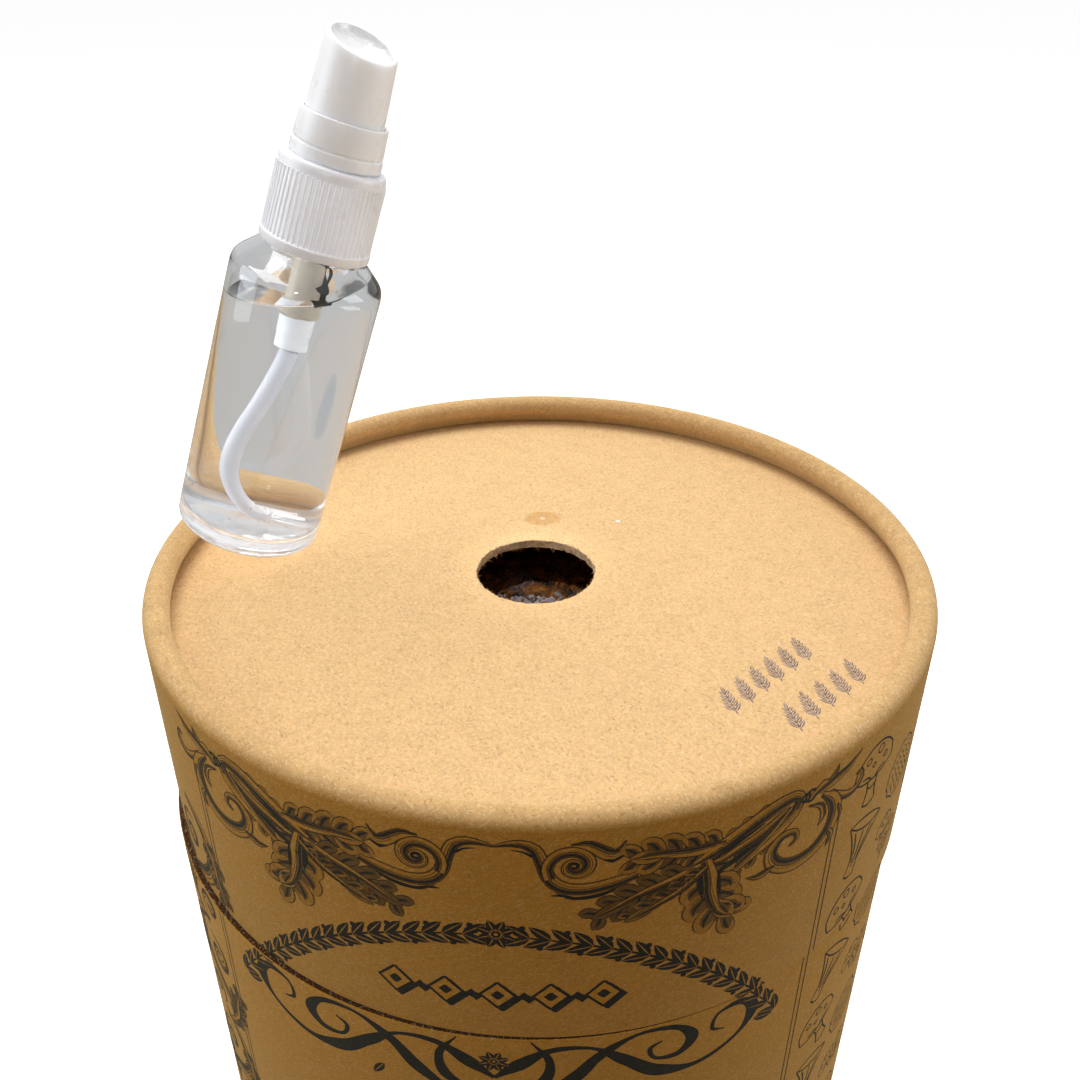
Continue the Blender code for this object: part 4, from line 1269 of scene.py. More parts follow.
def smooth_line(points, steps_for):
    """A curve through points, as points with their share of the way added at the end."""
    ends = [tuple(2 * a - b for a, b in zip(points[0], points[1]))] + list(points)
    ends.append(tuple(2 * a - b for a, b in zip(points[-1], points[-2])))
    line = []
    for index in range(1, len(ends) - 2):
        corners = ends[index - 1:index + 3]
        steps = steps_for(corners[1], corners[2])
        for step in range(steps):
            t = step / steps
            share = (index - 1 + t) / (len(points) - 1)
            line.append((*(curve_spot(*numbers, t) for numbers in zip(*corners)), share))
    return line + [(*points[-1], 1.0)]


route = [Vector(spot[:3]) * MM for spot in smooth_line(TUBE_ROUTE_MM, lambda start, end: 8)]
path_mesh = bpy.data.meshes.new("dip_tube_path")
path_mesh.from_pydata(route, [(index, index + 1) for index in range(len(route) - 1)], [])
dip_tube = grow("dip_tube_swept", path_mesh, swept, {"Material": natural_pe})
settle(dip_tube.data, BOTTLE_PLACE)
dress(dip_tube, "kit", natural_pe, "natural_plastic", "dip_tube")

# %% [markdown]
# ## Printed ornament
# The wrap is printed in one dark ink with old-style engraved scrollwork: a wide garland of
# acanthus leaves under the rim, a frame of double lines, and line drawings of mushrooms round
# the back. An image would be the usual way. Here the print is drawn as brush strokes, thin
# ribbons in a flat sheet measured in millimetres: x runs round the tube from the middle of
# the front, y runs up from the rim's top, so the whole label has negative y. Each stroke
# keeps an ink value: 1 is full ink, 0 is bare paper, and between them are half tones. Its
# depth says how many strokes it lies over.

# %% Draw strokes
def ink_line(points, spacing=0.9):
    """A smooth line with about the given spacing, in at least two steps a span."""
    return smooth_line(points, lambda start, end: max(2, int(math.dist(start, end) / spacing)))


def value_at(values, share):
    """Read a list of values as a smooth function of a share from 0 to 1."""
    if not isinstance(values, (list, tuple)):
        return values
    spot = share * (len(values) - 1)
    index = min(int(spot), len(values) - 2)
    t = spot - index
    t = t * t * (3 - 2 * t)
    return values[index] * (1 - t) + values[index + 1] * t


def brush(art, points, widths, ink=1.0, depth=0, shift=0.0, spacing=0.9):
    """Add a ribbon along points; shift moves it sideways by a share of its half width."""
    line = ink_line(points, spacing)
    left, right = [], []
    for index, (x, y, share) in enumerate(line):
        x0, y0, _ = line[max(index - 1, 0)]
        x1, y1, _ = line[min(index + 1, len(line) - 1)]
        length = math.dist((x0, y0), (x1, y1)) or 1.0
        nx, ny = -(y1 - y0) / length, (x1 - x0) / length
        half = 0.5 * value_at(widths, share)
        side = value_at(shift, share) * half
        left.append((x + nx * (half + side), y + ny * (half + side)))
        right.append((x - nx * (half - side), y - ny * (half - side)))
    art.append((left, right, ink, depth))


def towards(spot, way, length):
    """The point at a length from a spot in a direction."""
    return (spot[0] + length * math.cos(way), spot[1] + length * math.sin(way))


print("a brush stroke has two sides, an ink value and a depth")

# %% [markdown]
# The engraver's leaves are built from a few strokes each: a rolled frond, a pointed blade and
# the soft lobe, which many times over makes an acanthus leaf.

# %% Draw leaves
def thinner(widths, edge):
    """Widths that leave an edge of ink on both sides."""
    return [max(0.0, value - edge) for value in widths]


def scaled(widths, share):
    return [share * value for value in widths]


def frond(art, points, widths, depth, lit=1.0):
    """A rolled leaf in engraved tones: dark edge, half tone, strips of light and shade, a vein."""
    inner = thinner(widths, 0.32)
    brush(art, points, widths, 1.0, depth)
    brush(art, points, inner, 0.46, depth + 1)
    brush(art, points, scaled(inner, 0.40), 0.02, depth + 2, shift=1.15 * lit)
    if max(widths) > 1.3:
        brush(art, points, scaled(inner, 0.28), 0.97, depth + 3, shift=-2.2 * lit)
        brush(art, points, [0.14, 0.2, 0.1], 0.85, depth + 3)
    if max(widths) > 2.1 and len(points) > 3:
        brush(art, points[1:], [0.05, 0.16, 0.05], 0.8, depth + 3, shift=6.5 * lit)


def blade(art, line, width, depth, fill=0.7):
    """A pointed leaf lobe along root, middle and tip: full in the middle, sharp at its end."""
    shape = [0.25 * width, 0.85 * width, width, 0.8 * width, 0.42 * width, 0.04]
    inner = thinner(shape, 0.38)
    brush(art, line, shape, 1.0, depth, spacing=0.5)
    brush(art, line, inner, fill, depth + 1, spacing=0.5)
    brush(art, line, scaled(inner, 0.36), 0.03, depth + 2, shift=1.1, spacing=0.5)
    brush(art, line, [0.22, 0.2, 0.05], 0.95, depth + 3, spacing=0.5)


ROUND_END = (0.35, 0.58, 0.78, 0.92, 1.0, 1.0, 0.94, 0.80, 0.55, 0.02)


def lobe(art, root, middle, tip, width, depth, lit, tone):
    """A soft leaf lobe with a round end, shaded towards its root."""
    line = [root, middle, tip]
    shape = scaled(ROUND_END, width)
    brush(art, line, shape, 1.0, depth, spacing=0.5)
    brush(art, line, thinner(shape, 0.36), tone, depth + 1, spacing=0.5)
    inward = [root, middle, tuple(a + (b - a) * 0.55 for a, b in zip(middle, tip))]
    brush(art, inward, [0.55 * width, 0.62 * width, 0.1], 0.6, depth + 2, spacing=0.5, shift=-0.3 * lit)
    brush(art, inward, [0.42, 0.34, 0.05], 1.0, depth + 3, spacing=0.5)
    for side in (-3.0, 3.0):
        brush(art, inward, [0.1, 0.2, 0.05], 0.85, depth + 3, spacing=0.5, shift=side)


def acanthus(art, spine, reach, pairs, depth, lit=1.0, tone=0.14, sides=(1, -1)):
    """A scalloped leaf: round lobes lean forward on both sides of a rolled spine."""
    line = ink_line(spine, 0.4)
    last = len(line) - 1
    if len(sides) == 2:
        brush(art, spine, [0.5 * reach, 1.15 * reach, 1.1 * reach, 0.8 * reach, 0.05], 0.55, depth - 1)
    for index in range(pairs):
        share = (index + 0.35) / pairs
        x, y, _ = line[round(share * last)]
        x1, y1, _ = line[min(round(share * last) + 2, last)]
        way = math.atan2(y1 - y, x1 - x)
        length = reach * (0.6 + 0.4 * math.sin(math.pi * (0.12 + 0.8 * share)))
        for side in sides:
            middle = towards((x, y), way + side * math.radians(66.0 - 26.0 * share), 0.62 * length)
            tip = towards(middle, way + side * math.radians(24.0), 0.5 * length)
            lobe(art, (x, y), middle, tip, 0.7 * length, depth + 4 * (index % 2), side * lit, tone)
    tip_x, tip_y, _ = line[-1]
    x, y, _ = line[round(0.62 * last)]
    halfway = ((x + tip_x) / 2, (y + tip_y) / 2)
    lobe(art, (x, y), halfway, (tip_x, tip_y), 0.62 * reach, depth + 8, lit, tone)
    frond(art, spine, [0.34 * reach, 0.46 * reach, 0.4 * reach, 0.26 * reach, 0.04], depth + 12, lit)


print("a lobe's end is rounded in", len(ROUND_END), "widths")

# %% [markdown]
# Scrolls, circles and hatching fill in the rest. A drawing can then be moved, turned, scaled
# or mirrored, so that each motif is drawn only once.

# %% Draw scrolls and repeat drawings
def spiral(middle, start_radius, end_radius, start_turn, turns, count=22):
    """Points of a closing scroll; turns is negative for clockwise."""
    points = []
    for step in range(count + 1):
        t = step / count
        radius = start_radius * (end_radius / start_radius) ** t
        points.append(towards(middle, math.radians(start_turn) + turns * math.tau * t, radius))
    return points


def circle_at(middle, radius, count):
    return spiral(middle, radius, radius, 0, 1.0, count)


def hatch(art, start, end, start_way, end_way, count, lengths, depth, ink=0.9, width=0.22):
    """Short engraved lines from start to end, turning from one direction to another."""
    for step in range(count):
        t = step / max(1, count - 1)
        root = (start[0] + (end[0] - start[0]) * t, start[1] + (end[1] - start[1]) * t)
        tip = towards(root, math.radians(start_way + (end_way - start_way) * t), value_at(lengths, t))
        brush(art, [root, tip], [width, width * 0.8, 0.05], ink, depth, spacing=2.0)


def redrawn(art, move, mirror=False):
    """The same strokes with every point moved; a mirrored stroke swaps its two sides."""
    made = []
    for left, right, ink, depth in art:
        sides = [[move(x, y) for x, y in side] for side in (left, right)]
        made.append((*(sides[::-1] if mirror else sides), ink, depth))
    return made


def mirrored(art):
    """The same strokes on the other side of x = 0."""
    return redrawn(art, lambda x, y: (-x, y), mirror=True)


def upside_down(art, middle=-115.0):
    """The same strokes mirrored top to bottom about a height."""
    return redrawn(art, lambda x, y: (x, 2 * middle - y), mirror=True)


def moved(art, shift_x=0.0, shift_y=0.0, turn=0.0, size=1.0):
    """The same strokes turned, scaled and moved."""
    cosine, sine = math.cos(turn) * size, math.sin(turn) * size
    return redrawn(art, lambda x, y: (shift_x + x * cosine - y * sine, shift_y + x * sine + y * cosine))


def drawn(table):
    """The strokes that a table's rows draw."""
    art = []
    for tool, *values in table:
        tool(art, *values)
    return art


print("a full circle has", len(circle_at((0.0, 0.0), 1.0, 12)), "points")

# %% [markdown]
# ## Half a garland
# The garland is drawn once, for the right half of the label, and mirrored. It grows from the
# middle: an arched stem, a volute with a flicked leaf, soft scalloped leaves that hang from a
# node, two long rolled leaves that meet at a ring, and a corner scroll that ends over the
# frame lines. The drawing is a table. Each row names the tool and gives its values: points,
# widths, then ink and depth for a brush, depth and lit side for a frond.

# %% Draw the right half of the garland
RING_HEIGHT = -6.9
GARLAND = [
    # arched stem from the middle, diving into the volute's outer band
    (frond, [(0, -5.3), (1.5, -4.8), (4, -4.5), (6.2, -5.6), (7.3, -8.4), (8.3, -11.6), (10.2, -13.7),
             (13.5, -14.4), (18, -13.6), (22, -12.2)],
     [0.5, 1.0, 1.8, 2.2, 2.3, 2.5, 2.7, 2.6, 2.5, 2.0], 4),
    (brush, [(4.6, -6.3), (5.6, -7.0), (6.3, -6.9)], [0.1, 0.5, 0.7], 1.0, 8),
    (brush, [(2.6, -5.9), (4.4, -6.2), (6.0, -7.2)], [0.1, 0.35, 0.5], 1.0, 8),
    (brush, [(9.3, -14.9), (12, -16.3), (16, -16.0), (20.5, -14.2)], [0.1, 0.7, 0.8, 0.3], 1.0, 4),
    (brush, [(8.7, -15.6), (10.3, -15.6), (12.2, -16.1)], [0.2, 0.6, 0.3], 1.0, 4),
    # volute, and the flicked leaf over it
    (frond, spiral((12.2, -9.4), 4.6, 0.75, 215, -1.55), [1.9, 2.3, 2.2, 1.8, 1.4, 1.0], 8),
    (brush, spiral((12.2, -9.4), 0.9, 0.3, 150, -0.9, 8), [0.5, 0.6, 0.5], 1.0, 12),
    (frond, [(11.6, -4.9), (14.4, -5.2), (17.2, -7.2), (19.0, -7.1), (19.9, -4.7)],
     [0.6, 2.2, 2.8, 2.0, 0.15], 12, -1),
    (brush, [(16.0, -7.8), (18.0, -8.8), (20.2, -7.6)], [0.2, 0.8, 0.1], 1.0, 8),
    # soft leaf between the volute and the node, then two dark ones and a big one that hang
    (acanthus, [(36.5, -9.8), (31.0, -9.8), (25.6, -9.0), (20.6, -8.9)], 5.0, 5, 12),
    (acanthus, [(34.0, -12.8), (28.0, -15.0), (22.0, -17.2), (15.0, -21.4)], 4.4, 6, 14, -1, 0.62),
    (acanthus, [(33.6, -14.0), (29.6, -17.6), (25.4, -20.0), (20.2, -22.8)], 3.4, 5, 30, -1, 0.3, (-1,)),
    (hatch, (24.4, -16.6), (31.6, -15.2), 206, 250, 14, [2.4, 3.0, 2.6], 48, 0.9, 0.26),
    (acanthus, [(33.4, -12.6), (34.4, -16.6), (34.8, -20.6), (36.6, -25.2), (39.4, -27.4)], 6.2, 5, 22),
    (brush, [(32.6, -14.0), (32.6, -17.6), (33.4, -21.4)], [0.4, 1.2, 0.1], 1.0, 40),
    (brush, [(35.8, -15.4), (36.0, -18.2), (36.6, -21.8)], [0.2, 0.8, 0.1], 1.0, 40),
    # two long rolled leaves from the node up to the ring
    (frond, [(33.6, -18.6), (36.0, -17.6), (40.0, -14.6), (45.4, -11.6), (49.2, -9.0), (50.2, -6.7),
             (48.6, -5.6)], [0.9, 3.2, 3.9, 3.8, 3.1, 2.2, 0.9], 16, -1),
    (frond, [(31.4, -12.6), (36.0, -10.2), (41.0, -7.6), (45.0, -5.8), (49.0, -5.2), (50.8, -6.6),
             (50.0, -8.6)], [1.4, 3.0, 3.3, 3.0, 2.4, 1.6, 0.7], 24),
    (frond, [(33.6, -14.4), (38.4, -12.4), (43.0, -10.6), (46.8, -8.2), (48.0, -7.6)],
     [0.6, 1.9, 2.2, 1.6, 0.7], 22),
    (brush, [(34.0, -16.8), (38.5, -14.3), (43.0, -12.2)], [0.5, 1.3, 0.3], 1.0, 26),
    (brush, [(33.6, -13.4), (38.0, -10.9), (43.5, -8.5)], [0.3, 0.9, 0.2], 1.0, 32),
    (hatch, (36.0, -18.0), (46.0, -11.8), 40, 30, 12, [1.6, 2.0, 1.6], 20, 0.8, 0.18),
    (acanthus, [(48.6, -6.0), (43.0, -7.6), (38.0, -10.0), (33.0, -12.4)], 3.4, 6, 8, 1, 0.14, (-1,)),
    (acanthus, [(48.6, -7.4), (44.6, -11.6), (40.0, -15.4), (35.4, -18.4)], 3.2, 6, 8, 1, 0.4, (1,)),
]
for middle_x, size in ((51.6, 1.0), (52.7, 1.4)):
    # the ring between the leaves and the corner scroll
    half = size * 0.35
    GARLAND += [
        (brush, circle_at((middle_x, RING_HEIGHT), size * 0.85, 12), [0.5, 0.5], 1.0, 28),
        (brush, [(middle_x - half, RING_HEIGHT), (middle_x + half, RING_HEIGHT)], [size, size], 0.25, 27)]
GARLAND += [
    # bud, leaf to the upper tip, leaf to the side curl, C scroll and its tips
    (frond, [(53.3, -7.2), (55.4, -6.0), (57.8, -6.6)], [1.2, 2.4, 0.8], 28),
    (frond, [(54.8, -7.3), (58.2, -6.4), (61.6, -5.4), (64.6, -3.3)], [1.0, 2.2, 1.5, 0.12], 32, -1),
    (blade, [(56.0, -6.4), (58.0, -4.9), (58.6, -3.2)], 1.3, 32, 0.8),
    (frond, [(57.6, -8.6), (61.2, -11.6), (64.4, -12.2), (66.3, -10.6), (65.6, -8.4), (64.2, -8.9)],
     [1.0, 2.0, 1.7, 1.2, 0.8, 0.4], 36),
    (frond, [(55.6, -8.2), (58.4, -10.6), (59.7, -14.0), (58.6, -18.0), (55.2, -20.8), (50.6, -21.2),
             (46.8, -19.2), (45.6, -16.0), (47.4, -13.4), (50.2, -13.5), (50.9, -15.4), (49.4, -16.4)],
     [1.2, 2.9, 3.4, 3.2, 3.1, 3.4, 3.2, 2.7, 2.0, 1.5, 1.1, 0.4], 40),
    (frond, [(52.6, -9.2), (55.6, -10.6), (56.6, -13.4), (55.6, -15.2)], [0.4, 1.3, 1.4, 0.2], 44, -1),
    (blade, [(46.8, -19.4), (43.6, -20.4), (41.0, -19.6)], 1.6, 44, 0.8),
    (blade, [(58.2, -17.4), (59.6, -19.6), (58.6, -22.0)], 1.7, 44),
    (blade, [(60.0, -12.6), (61.2, -15.4), (60.6, -17.6)], 1.1, 44),
]


garland_half = drawn(GARLAND)
print(len(garland_half), "strokes in half a garland")

# %% [markdown]
# ## Laurel, lozenges and flourish
# Between the garlands the label carries three plain devices: a laurel branch bent to an arch,
# a row of hollow lozenges with a drop shadow, and a pen flourish of loops. The laurel and the
# lozenges follow rules, so loops place them.

# %% Draw the middle of the label
ARCH_BEND = 0.01064
DIVIDER_HEIGHT = -39.6


def arch_height(x):
    """The arch that the laurel follows, highest in the middle."""
    return -25.0 - ARCH_BEND * x * x - 5.2e-7 * x ** 4


def solid_leaf(art, root, way, length, width, depth):
    """A full dark leaf with a fine pale vein; way is its direction in radians."""
    tip = towards(root, way, length)
    middle = tuple((a + b) / 2 for a, b in zip(root, tip))
    brush(art, [root, middle, tip], [0.1, 0.9 * width, width, 0.7 * width, 0.05], 1.0, depth)
    brush(art, [root, middle, tip], [0.1, 0.24, 0.05], 0.1, depth + 1, spacing=2.0)


def laurel_half():
    """Leaf pairs that climb the arch to a rosette in the middle."""
    art = []
    x = 54.0
    stem = []
    while x > 3.6:
        slope = math.atan(2 * ARCH_BEND * x)
        stem.append((x, arch_height(x)))
        way = math.pi - slope
        for side in (1, -1):
            solid_leaf(art, stem[-1], way + side * 0.52, 4.9, 1.9, 2)
        berry = way + (0.95 if len(stem) % 2 else -0.95)
        brush(art, circle_at(towards(stem[-1], berry, 2.6), 0.3, 8), [0.55, 0.55], 1.0, 2)
        x -= 3.5 * math.cos(slope)
    brush(art, stem, [0.3, 0.55, 0.4], 1.0, 1)
    return art


def rosette(middle, size):
    art = []
    for step in range(8):
        way = math.tau * (step + 0.5) / 8
        solid_leaf(art, towards(middle, way, 0.3 * size), way, size, 0.62 * size, 4)
    brush(art, circle_at(middle, 0.22 * size, 12), [0.16 * size] * 2, 1.0, 6)
    return art


def lozenge(art, middle, half_width, half_height, ink, depth):
    """A filled lozenge in narrow slices, so that it can bend round the tube."""
    slices = max(4, round(2 * half_width / 0.5))
    top = []
    for step in range(slices + 1):
        across = half_width * (2 * step / slices - 1)
        rise = max(0.02, half_height * (1 - abs(across) / half_width))
        top.append((middle[0] + across, middle[1] + rise))
    art.append((top, [(x, 2 * middle[1] - y) for x, y in top], ink, depth))


def divider():
    """Hollow lozenges in a row with a shadow below on the right, and small ones between."""
    art = []
    for index in range(-4, 5):
        middle = (4.4 * index, DIVIDER_HEIGHT)
        size = 1.0 if index % 2 == 0 else 0.3
        shadow = (middle[0] + 0.8, DIVIDER_HEIGHT - 0.7)
        lozenge(art, shadow, 3.3 * size, 3.6 * size, 1.0, 0)
        lozenge(art, middle, 3.3 * size, 3.6 * size, 1.0, 2)
        if index % 2 == 0:
            lozenge(art, middle, 2.6, 2.8, 0.0, 4)
            lozenge(art, middle, 1.2, 1.3, 1.0, 6)
    return art


# thick and thin lines that loop through each other, then two leaves and a dot
FLOURISH = [
    (brush, [(0, -61.5), (4.5, -57.5), (10, -53.6), (17, -53.8), (23, -58.4), (29, -63.4), (37, -65.0),
             (45, -61.6), (48, -56.2), (45.2, -52.4), (40.4, -53.0), (39.4, -56.6), (42, -58.0)],
     [0.9, 2.9, 1.4, 0.8, 2.6, 3.1, 1.2, 0.9, 2.9, 1.6, 0.7, 0.9, 0.3], 1.0, 2, 0.0, 0.7),
    (brush, [(1.5, -67.5), (8, -66.4), (14, -61.6), (18.5, -56.0), (25, -52.0), (32, -52.6),
             (35.4, -56.6), (33, -60.2), (28.6, -59.8), (27.4, -56.8), (29.6, -55.4)],
     [0.3, 1.4, 2.9, 2.2, 0.8, 1.3, 2.6, 1.5, 0.8, 1.0, 0.4], 1.0, 4, 0.0, 0.7),
    (brush, [(6.4, -51.2), (9.6, -56.4), (8.8, -62.0), (4.6, -64.8), (1.4, -62.6)],
     [0.3, 1.5, 2.3, 1.2, 0.3], 1.0, 6, 0.0, 0.7),
    (solid_leaf, (48.6, -59.6), -0.35, 5.0, 1.9, 3),
    (solid_leaf, (20.5, -64.0), -1.0, 4.4, 1.7, 3),
    (brush, circle_at((53.4, -58.0), 0.5, 10), [0.9, 0.9], 1.0, 3),
]


def shaggy_cluster(middle, size, rows, thickness):
    """A round tooth mushroom in lines: rows of spines that hang from a shaggy ball."""
    art = []
    for row in range(rows):
        level = 1 - 2 * (row + 0.5) / rows
        reach = math.sqrt(max(0.0, 1 - level * level * 0.92))
        count = max(3, int(reach * rows * 1.5))
        for index in range(count):
            across = (2 * (index + 0.5 * (row % 2) + 0.25) / count - 1) * reach
            x, y = middle[0] + size * across * 0.92, middle[1] + size * level * 0.86
            length = size * (0.24 + 0.16 * (1 - level) / 2 + 0.05 * math.sin(7.0 * index + 3.0 * row))
            lean = 0.35 * across * length
            brush(art, [(x, y), (x + lean * 0.8, y - length * 0.5), (x + lean, y - length)],
                  [0.2 * thickness, thickness, 0.08], 1.0, 2, spacing=length / 3)
    return art


print(len(laurel_half()), "strokes in half the laurel,", len(drawn(FLOURISH)), "in half the flourish")

# %% [markdown]
# ## Mushroom line drawings
# Round the back the wrap repeats small line drawings of mushrooms in a half-drop layout. Each
# is a handful of strokes in its own little frame, about 14 mm high once placed. A loop turns
# and sets them in columns.

# %% Draw the small mushrooms
LINE = 0.5
CAPPED = [
    [(-8.6, 0), (-7.8, 4.4), (-4, 7.8), (0, 8.8), (4, 7.8), (7.8, 4.4), (8.6, 0)],
    [(-8.6, 0), (-5, -1.8), (0, -2.4), (5, -1.8), (8.6, 0)],
    [(-2.2, -2.2), (-1.8, -6), (-2.8, -10)], [(2.2, -2.2), (1.8, -6), (2.8, -10)],
    [(-2.8, -10), (0, -11.1), (2.8, -10)], [(-1.9, -4.6), (0, -5.4), (2.2, -4.4)],
    [(-5.0, -0.4), (-2.4, -0.9), (-0.8, -2.2)], [(4.8, -0.4), (2.6, -0.9), (0.9, -2.2)],
]
CAP_SPOTS = ((-3.4, 4.6, 1.0), (1.6, 6.0, 1.3), (4.6, 2.6, 0.8), (-0.6, 2.2, 0.7))
TRUMPET = [
    [(-8, 6.4), (-4, 4.8), (0, 4.4), (4, 5.0), (8, 7.0)], [(-8, 6.4), (-3, 8.0), (3, 8.2), (8, 7.0)],
    [(-8, 6.4), (-4.4, 1), (-2.0, -4.6), (-2.4, -10)], [(8, 7.0), (4.4, 1), (1.8, -4.6), (2.0, -10)],
    [(-2.4, -10), (-0.4, -10.9), (2.0, -10)], [(-4.2, 4.0), (-2.2, -0.4), (-0.9, -6.0)],
    [(0, 3.6), (0.1, -1.4), (-0.2, -7.4)], [(4.0, 4.2), (2.2, -0.4), (0.8, -5.6)],
]


def line_drawing(lines, end=1.0):
    """Pen lines that are thickest in the middle; end is the width at their end."""
    return drawn((brush, line, [LINE, LINE * 1.3, LINE * end], 1.0, 2, 0.0, 1.6) for line in lines)


def capped_mushroom():
    spots = [(brush, circle_at((x, y), size, 9), [LINE * 0.8] * 2, 1.0, 2, 0.0, 1.0)
             for x, y, size in CAP_SPOTS]
    return line_drawing(CAPPED) + drawn(spots)


def shaggy_ball():
    """A small tooth mushroom: a round outline filled with short spines."""
    art = shaggy_cluster((0.0, 0.5), 7.6, 6, LINE)
    outline = [towards((0.0, -0.6), math.tau * step / 24, 8.4 + 0.7 * (step % 2)) for step in range(25)]
    brush(art, outline, [LINE, LINE], 1.0, 2, spacing=1.6)
    return art


def small_group():
    """Three capped mushrooms of three sizes."""
    small = capped_mushroom()
    return (moved(small, -3.6, 2.4, 0.2, 0.62) + moved(small, 4.2, -1.6, -0.22, 0.5)
            + moved(small, 0.6, -5.4, 0.05, 0.34))


def mushroom_field(first, last):
    """Columns of small mushrooms from one place round the tube to another."""
    designs = [capped_mushroom(), shaggy_ball(), line_drawing(TRUMPET, 0.7), small_group()]
    columns = round((last - first) / 14.0)
    art = []
    for column in range(columns):
        x = first + (last - first) * (column + 0.5) / columns
        for row in range(13):
            y = -12.0 - 17.0 * row - (8.5 if column % 2 else 0.0)
            if y > -222.0:
                turn = 0.5 * math.sin(2.1 * column + 3.7 * row)
                art += moved(designs[(column + 2 * row) % len(designs)], x, y, turn, 0.72)
    return art


print(len(mushroom_field(0.0, 14.0)), "strokes in a column of mushrooms")

# %% [markdown]
# ## Side scroll and frame
# A tall band of scrollwork runs down the tube beside the label. One S scroll with leaves is
# drawn and stacked, every other one mirrored. Double lines frame the label.

# %% Draw the side scroll and the frame
SCROLL_SIZE = 1.65
SCROLL_HEIGHT = 19.0 * SCROLL_SIZE
SCROLL_UNIT = [
    (frond, [(-1.0, 0.6), (3.2, -1.6), (4.6, -6.0), (2.2, -10.0), (-2.4, -13.0), (-3.4, -16.6),
             (0.6, -19.6)], [0.8, 2.0, 2.6, 2.7, 2.4, 1.8, 0.6], 6),
    (frond, spiral((-1.4, -5.6), 3.4, 0.6, 60, 1.3, 14), [0.2, 1.8, 1.5, 0.9], 4),
    (frond, spiral((2.4, -15.2), 2.8, 0.5, 240, -1.2, 14), [0.2, 1.6, 1.3, 0.8], 4, -1),
    (acanthus, [(3.4, -3.0), (5.0, -5.4), (5.4, -8.4), (6.6, -11.6)], 2.7, 4, 14, 1, 0.5),
    (acanthus, [(-2.6, -16.8), (-4.4, -14.2), (-5.0, -11.4), (-6.4, -8.6)], 2.7, 4, 14, 1, 0.5),
]


def side_scroll(x, top, bottom):
    """S scrolls stacked from top to bottom, every other one mirrored."""
    art = []
    unit = drawn(SCROLL_UNIT)
    height = top
    flip = False
    while height > bottom + SCROLL_HEIGHT:
        art += moved(mirrored(unit) if flip else unit, x, height, size=SCROLL_SIZE)
        height -= SCROLL_HEIGHT
        flip = not flip
    return art


def frame_lines(x, top, bottom):
    return drawn((brush, [(x + offset, top), (x + offset, bottom)], [0.32, 0.32], 0.85, 1, 0.0, 40.0)
                 for offset in (-0.65, 0.65))


print(len(drawn(SCROLL_UNIT)), "strokes in one scroll")

# %% [markdown]
# ## Ink on kraft
# The ink is near black and sits in the paper, so fibres show through it a little. One finish
# serves all tones: it reads each stroke's ink value and blends bare wrap with ink. Where the
# value is 0 it looks just like the wall behind it.

# %% Mix the printing ink
BLACK_INK = {"Paper": (0.013, 0.011, 0.012, 1.0), "Mottle": 0.5, "Grain": 0.9, "Pale Flecks": 0.05}


def ink_finish(name, bare, inked, gloss, power):
    """A sheet that turns to an inked sheet with the Ink value of its faces."""
    material, tree, shader = finish_of(name, {"Specular IOR Level": gloss})
    bare_sheet, inked_sheet = [use_group(tree, paper, values) for values in (bare, inked)]
    amount = node(tree, "ShaderNodeAttribute", attribute_name="Ink", attribute_type="GEOMETRY")
    cover = maths(tree, "POWER", amount.outputs["Fac"], power, clamp=True)
    feed(shader, {"Roughness": bare_sheet["Roughness"], "Base Color": blend_colour(
        tree, cover, bare_sheet["Colour"], inked_sheet["Colour"])})
    return material, shader


# Bare, this sheet has the wall's brown with its painted shade, so that it matches the wall.
printing_ink, shader = ink_finish("printing ink on kraft", {
    "Paper": (*SHADED_WALL_BROWN, 1.0), "Pale Flecks": 0.35}, BLACK_INK, WALL_GLOSS, 0.7)
feed(shader, {"Sheen Weight": 0.5 * WALL_SHEEN, "Sheen Tint": SHEEN_TONE})
print("ink reads the Ink value of each stroke")

# %% [markdown]
# ## Wrapping the print round the tube
# A flat drawing is made into a mesh, cut where the lid ends, and rolled round the tube by a
# small node tree: x becomes an angle, y a height and z the distance off the wall. Strokes
# lie a few thousandths of a millimetre over each other by their depth, which is enough for
# the renderer to keep them apart.

# %% Build the wrapping tree
wrap, wrap_in, wrap_out = new_group("wrap on tube", "GeometryNodeTree", {
    "Flat Print": "Geometry", "Radius": 80.0 * MM, "Arc Radius": 80.0 * MM, "Middle X": 0.0,
    "Top": 230.0 * MM, "Material": "Material"}, {"Geometry": "Geometry"})
flat = parts_of(wrap, position_in(wrap))
turn = maths(wrap, "DIVIDE", flat["X"], wrap_in["Arc Radius"])
reach = maths(wrap, "ADD", flat["Z"], wrap_in["Radius"])
sideways = times(wrap, reach, maths(wrap, "SINE", turn))
forwards = times(wrap, reach, maths(wrap, "COSINE", turn))
end_tree(wrap, wrap_in, wrap_out, result(wrap, "GeometryNodeSetPosition", {
    "Geometry": wrap_in["Flat Print"], "Position": vector_from(
        wrap, X=maths(wrap, "ADD", sideways, wrap_in["Middle X"]), Y=times(wrap, forwards, -1.0),
        Z=maths(wrap, "ADD", flat["Y"], wrap_in["Top"]))}), smooth=False)

FIRST_LIFT = 0.012 * MM
DEPTH_LIFT = 0.0014 * MM


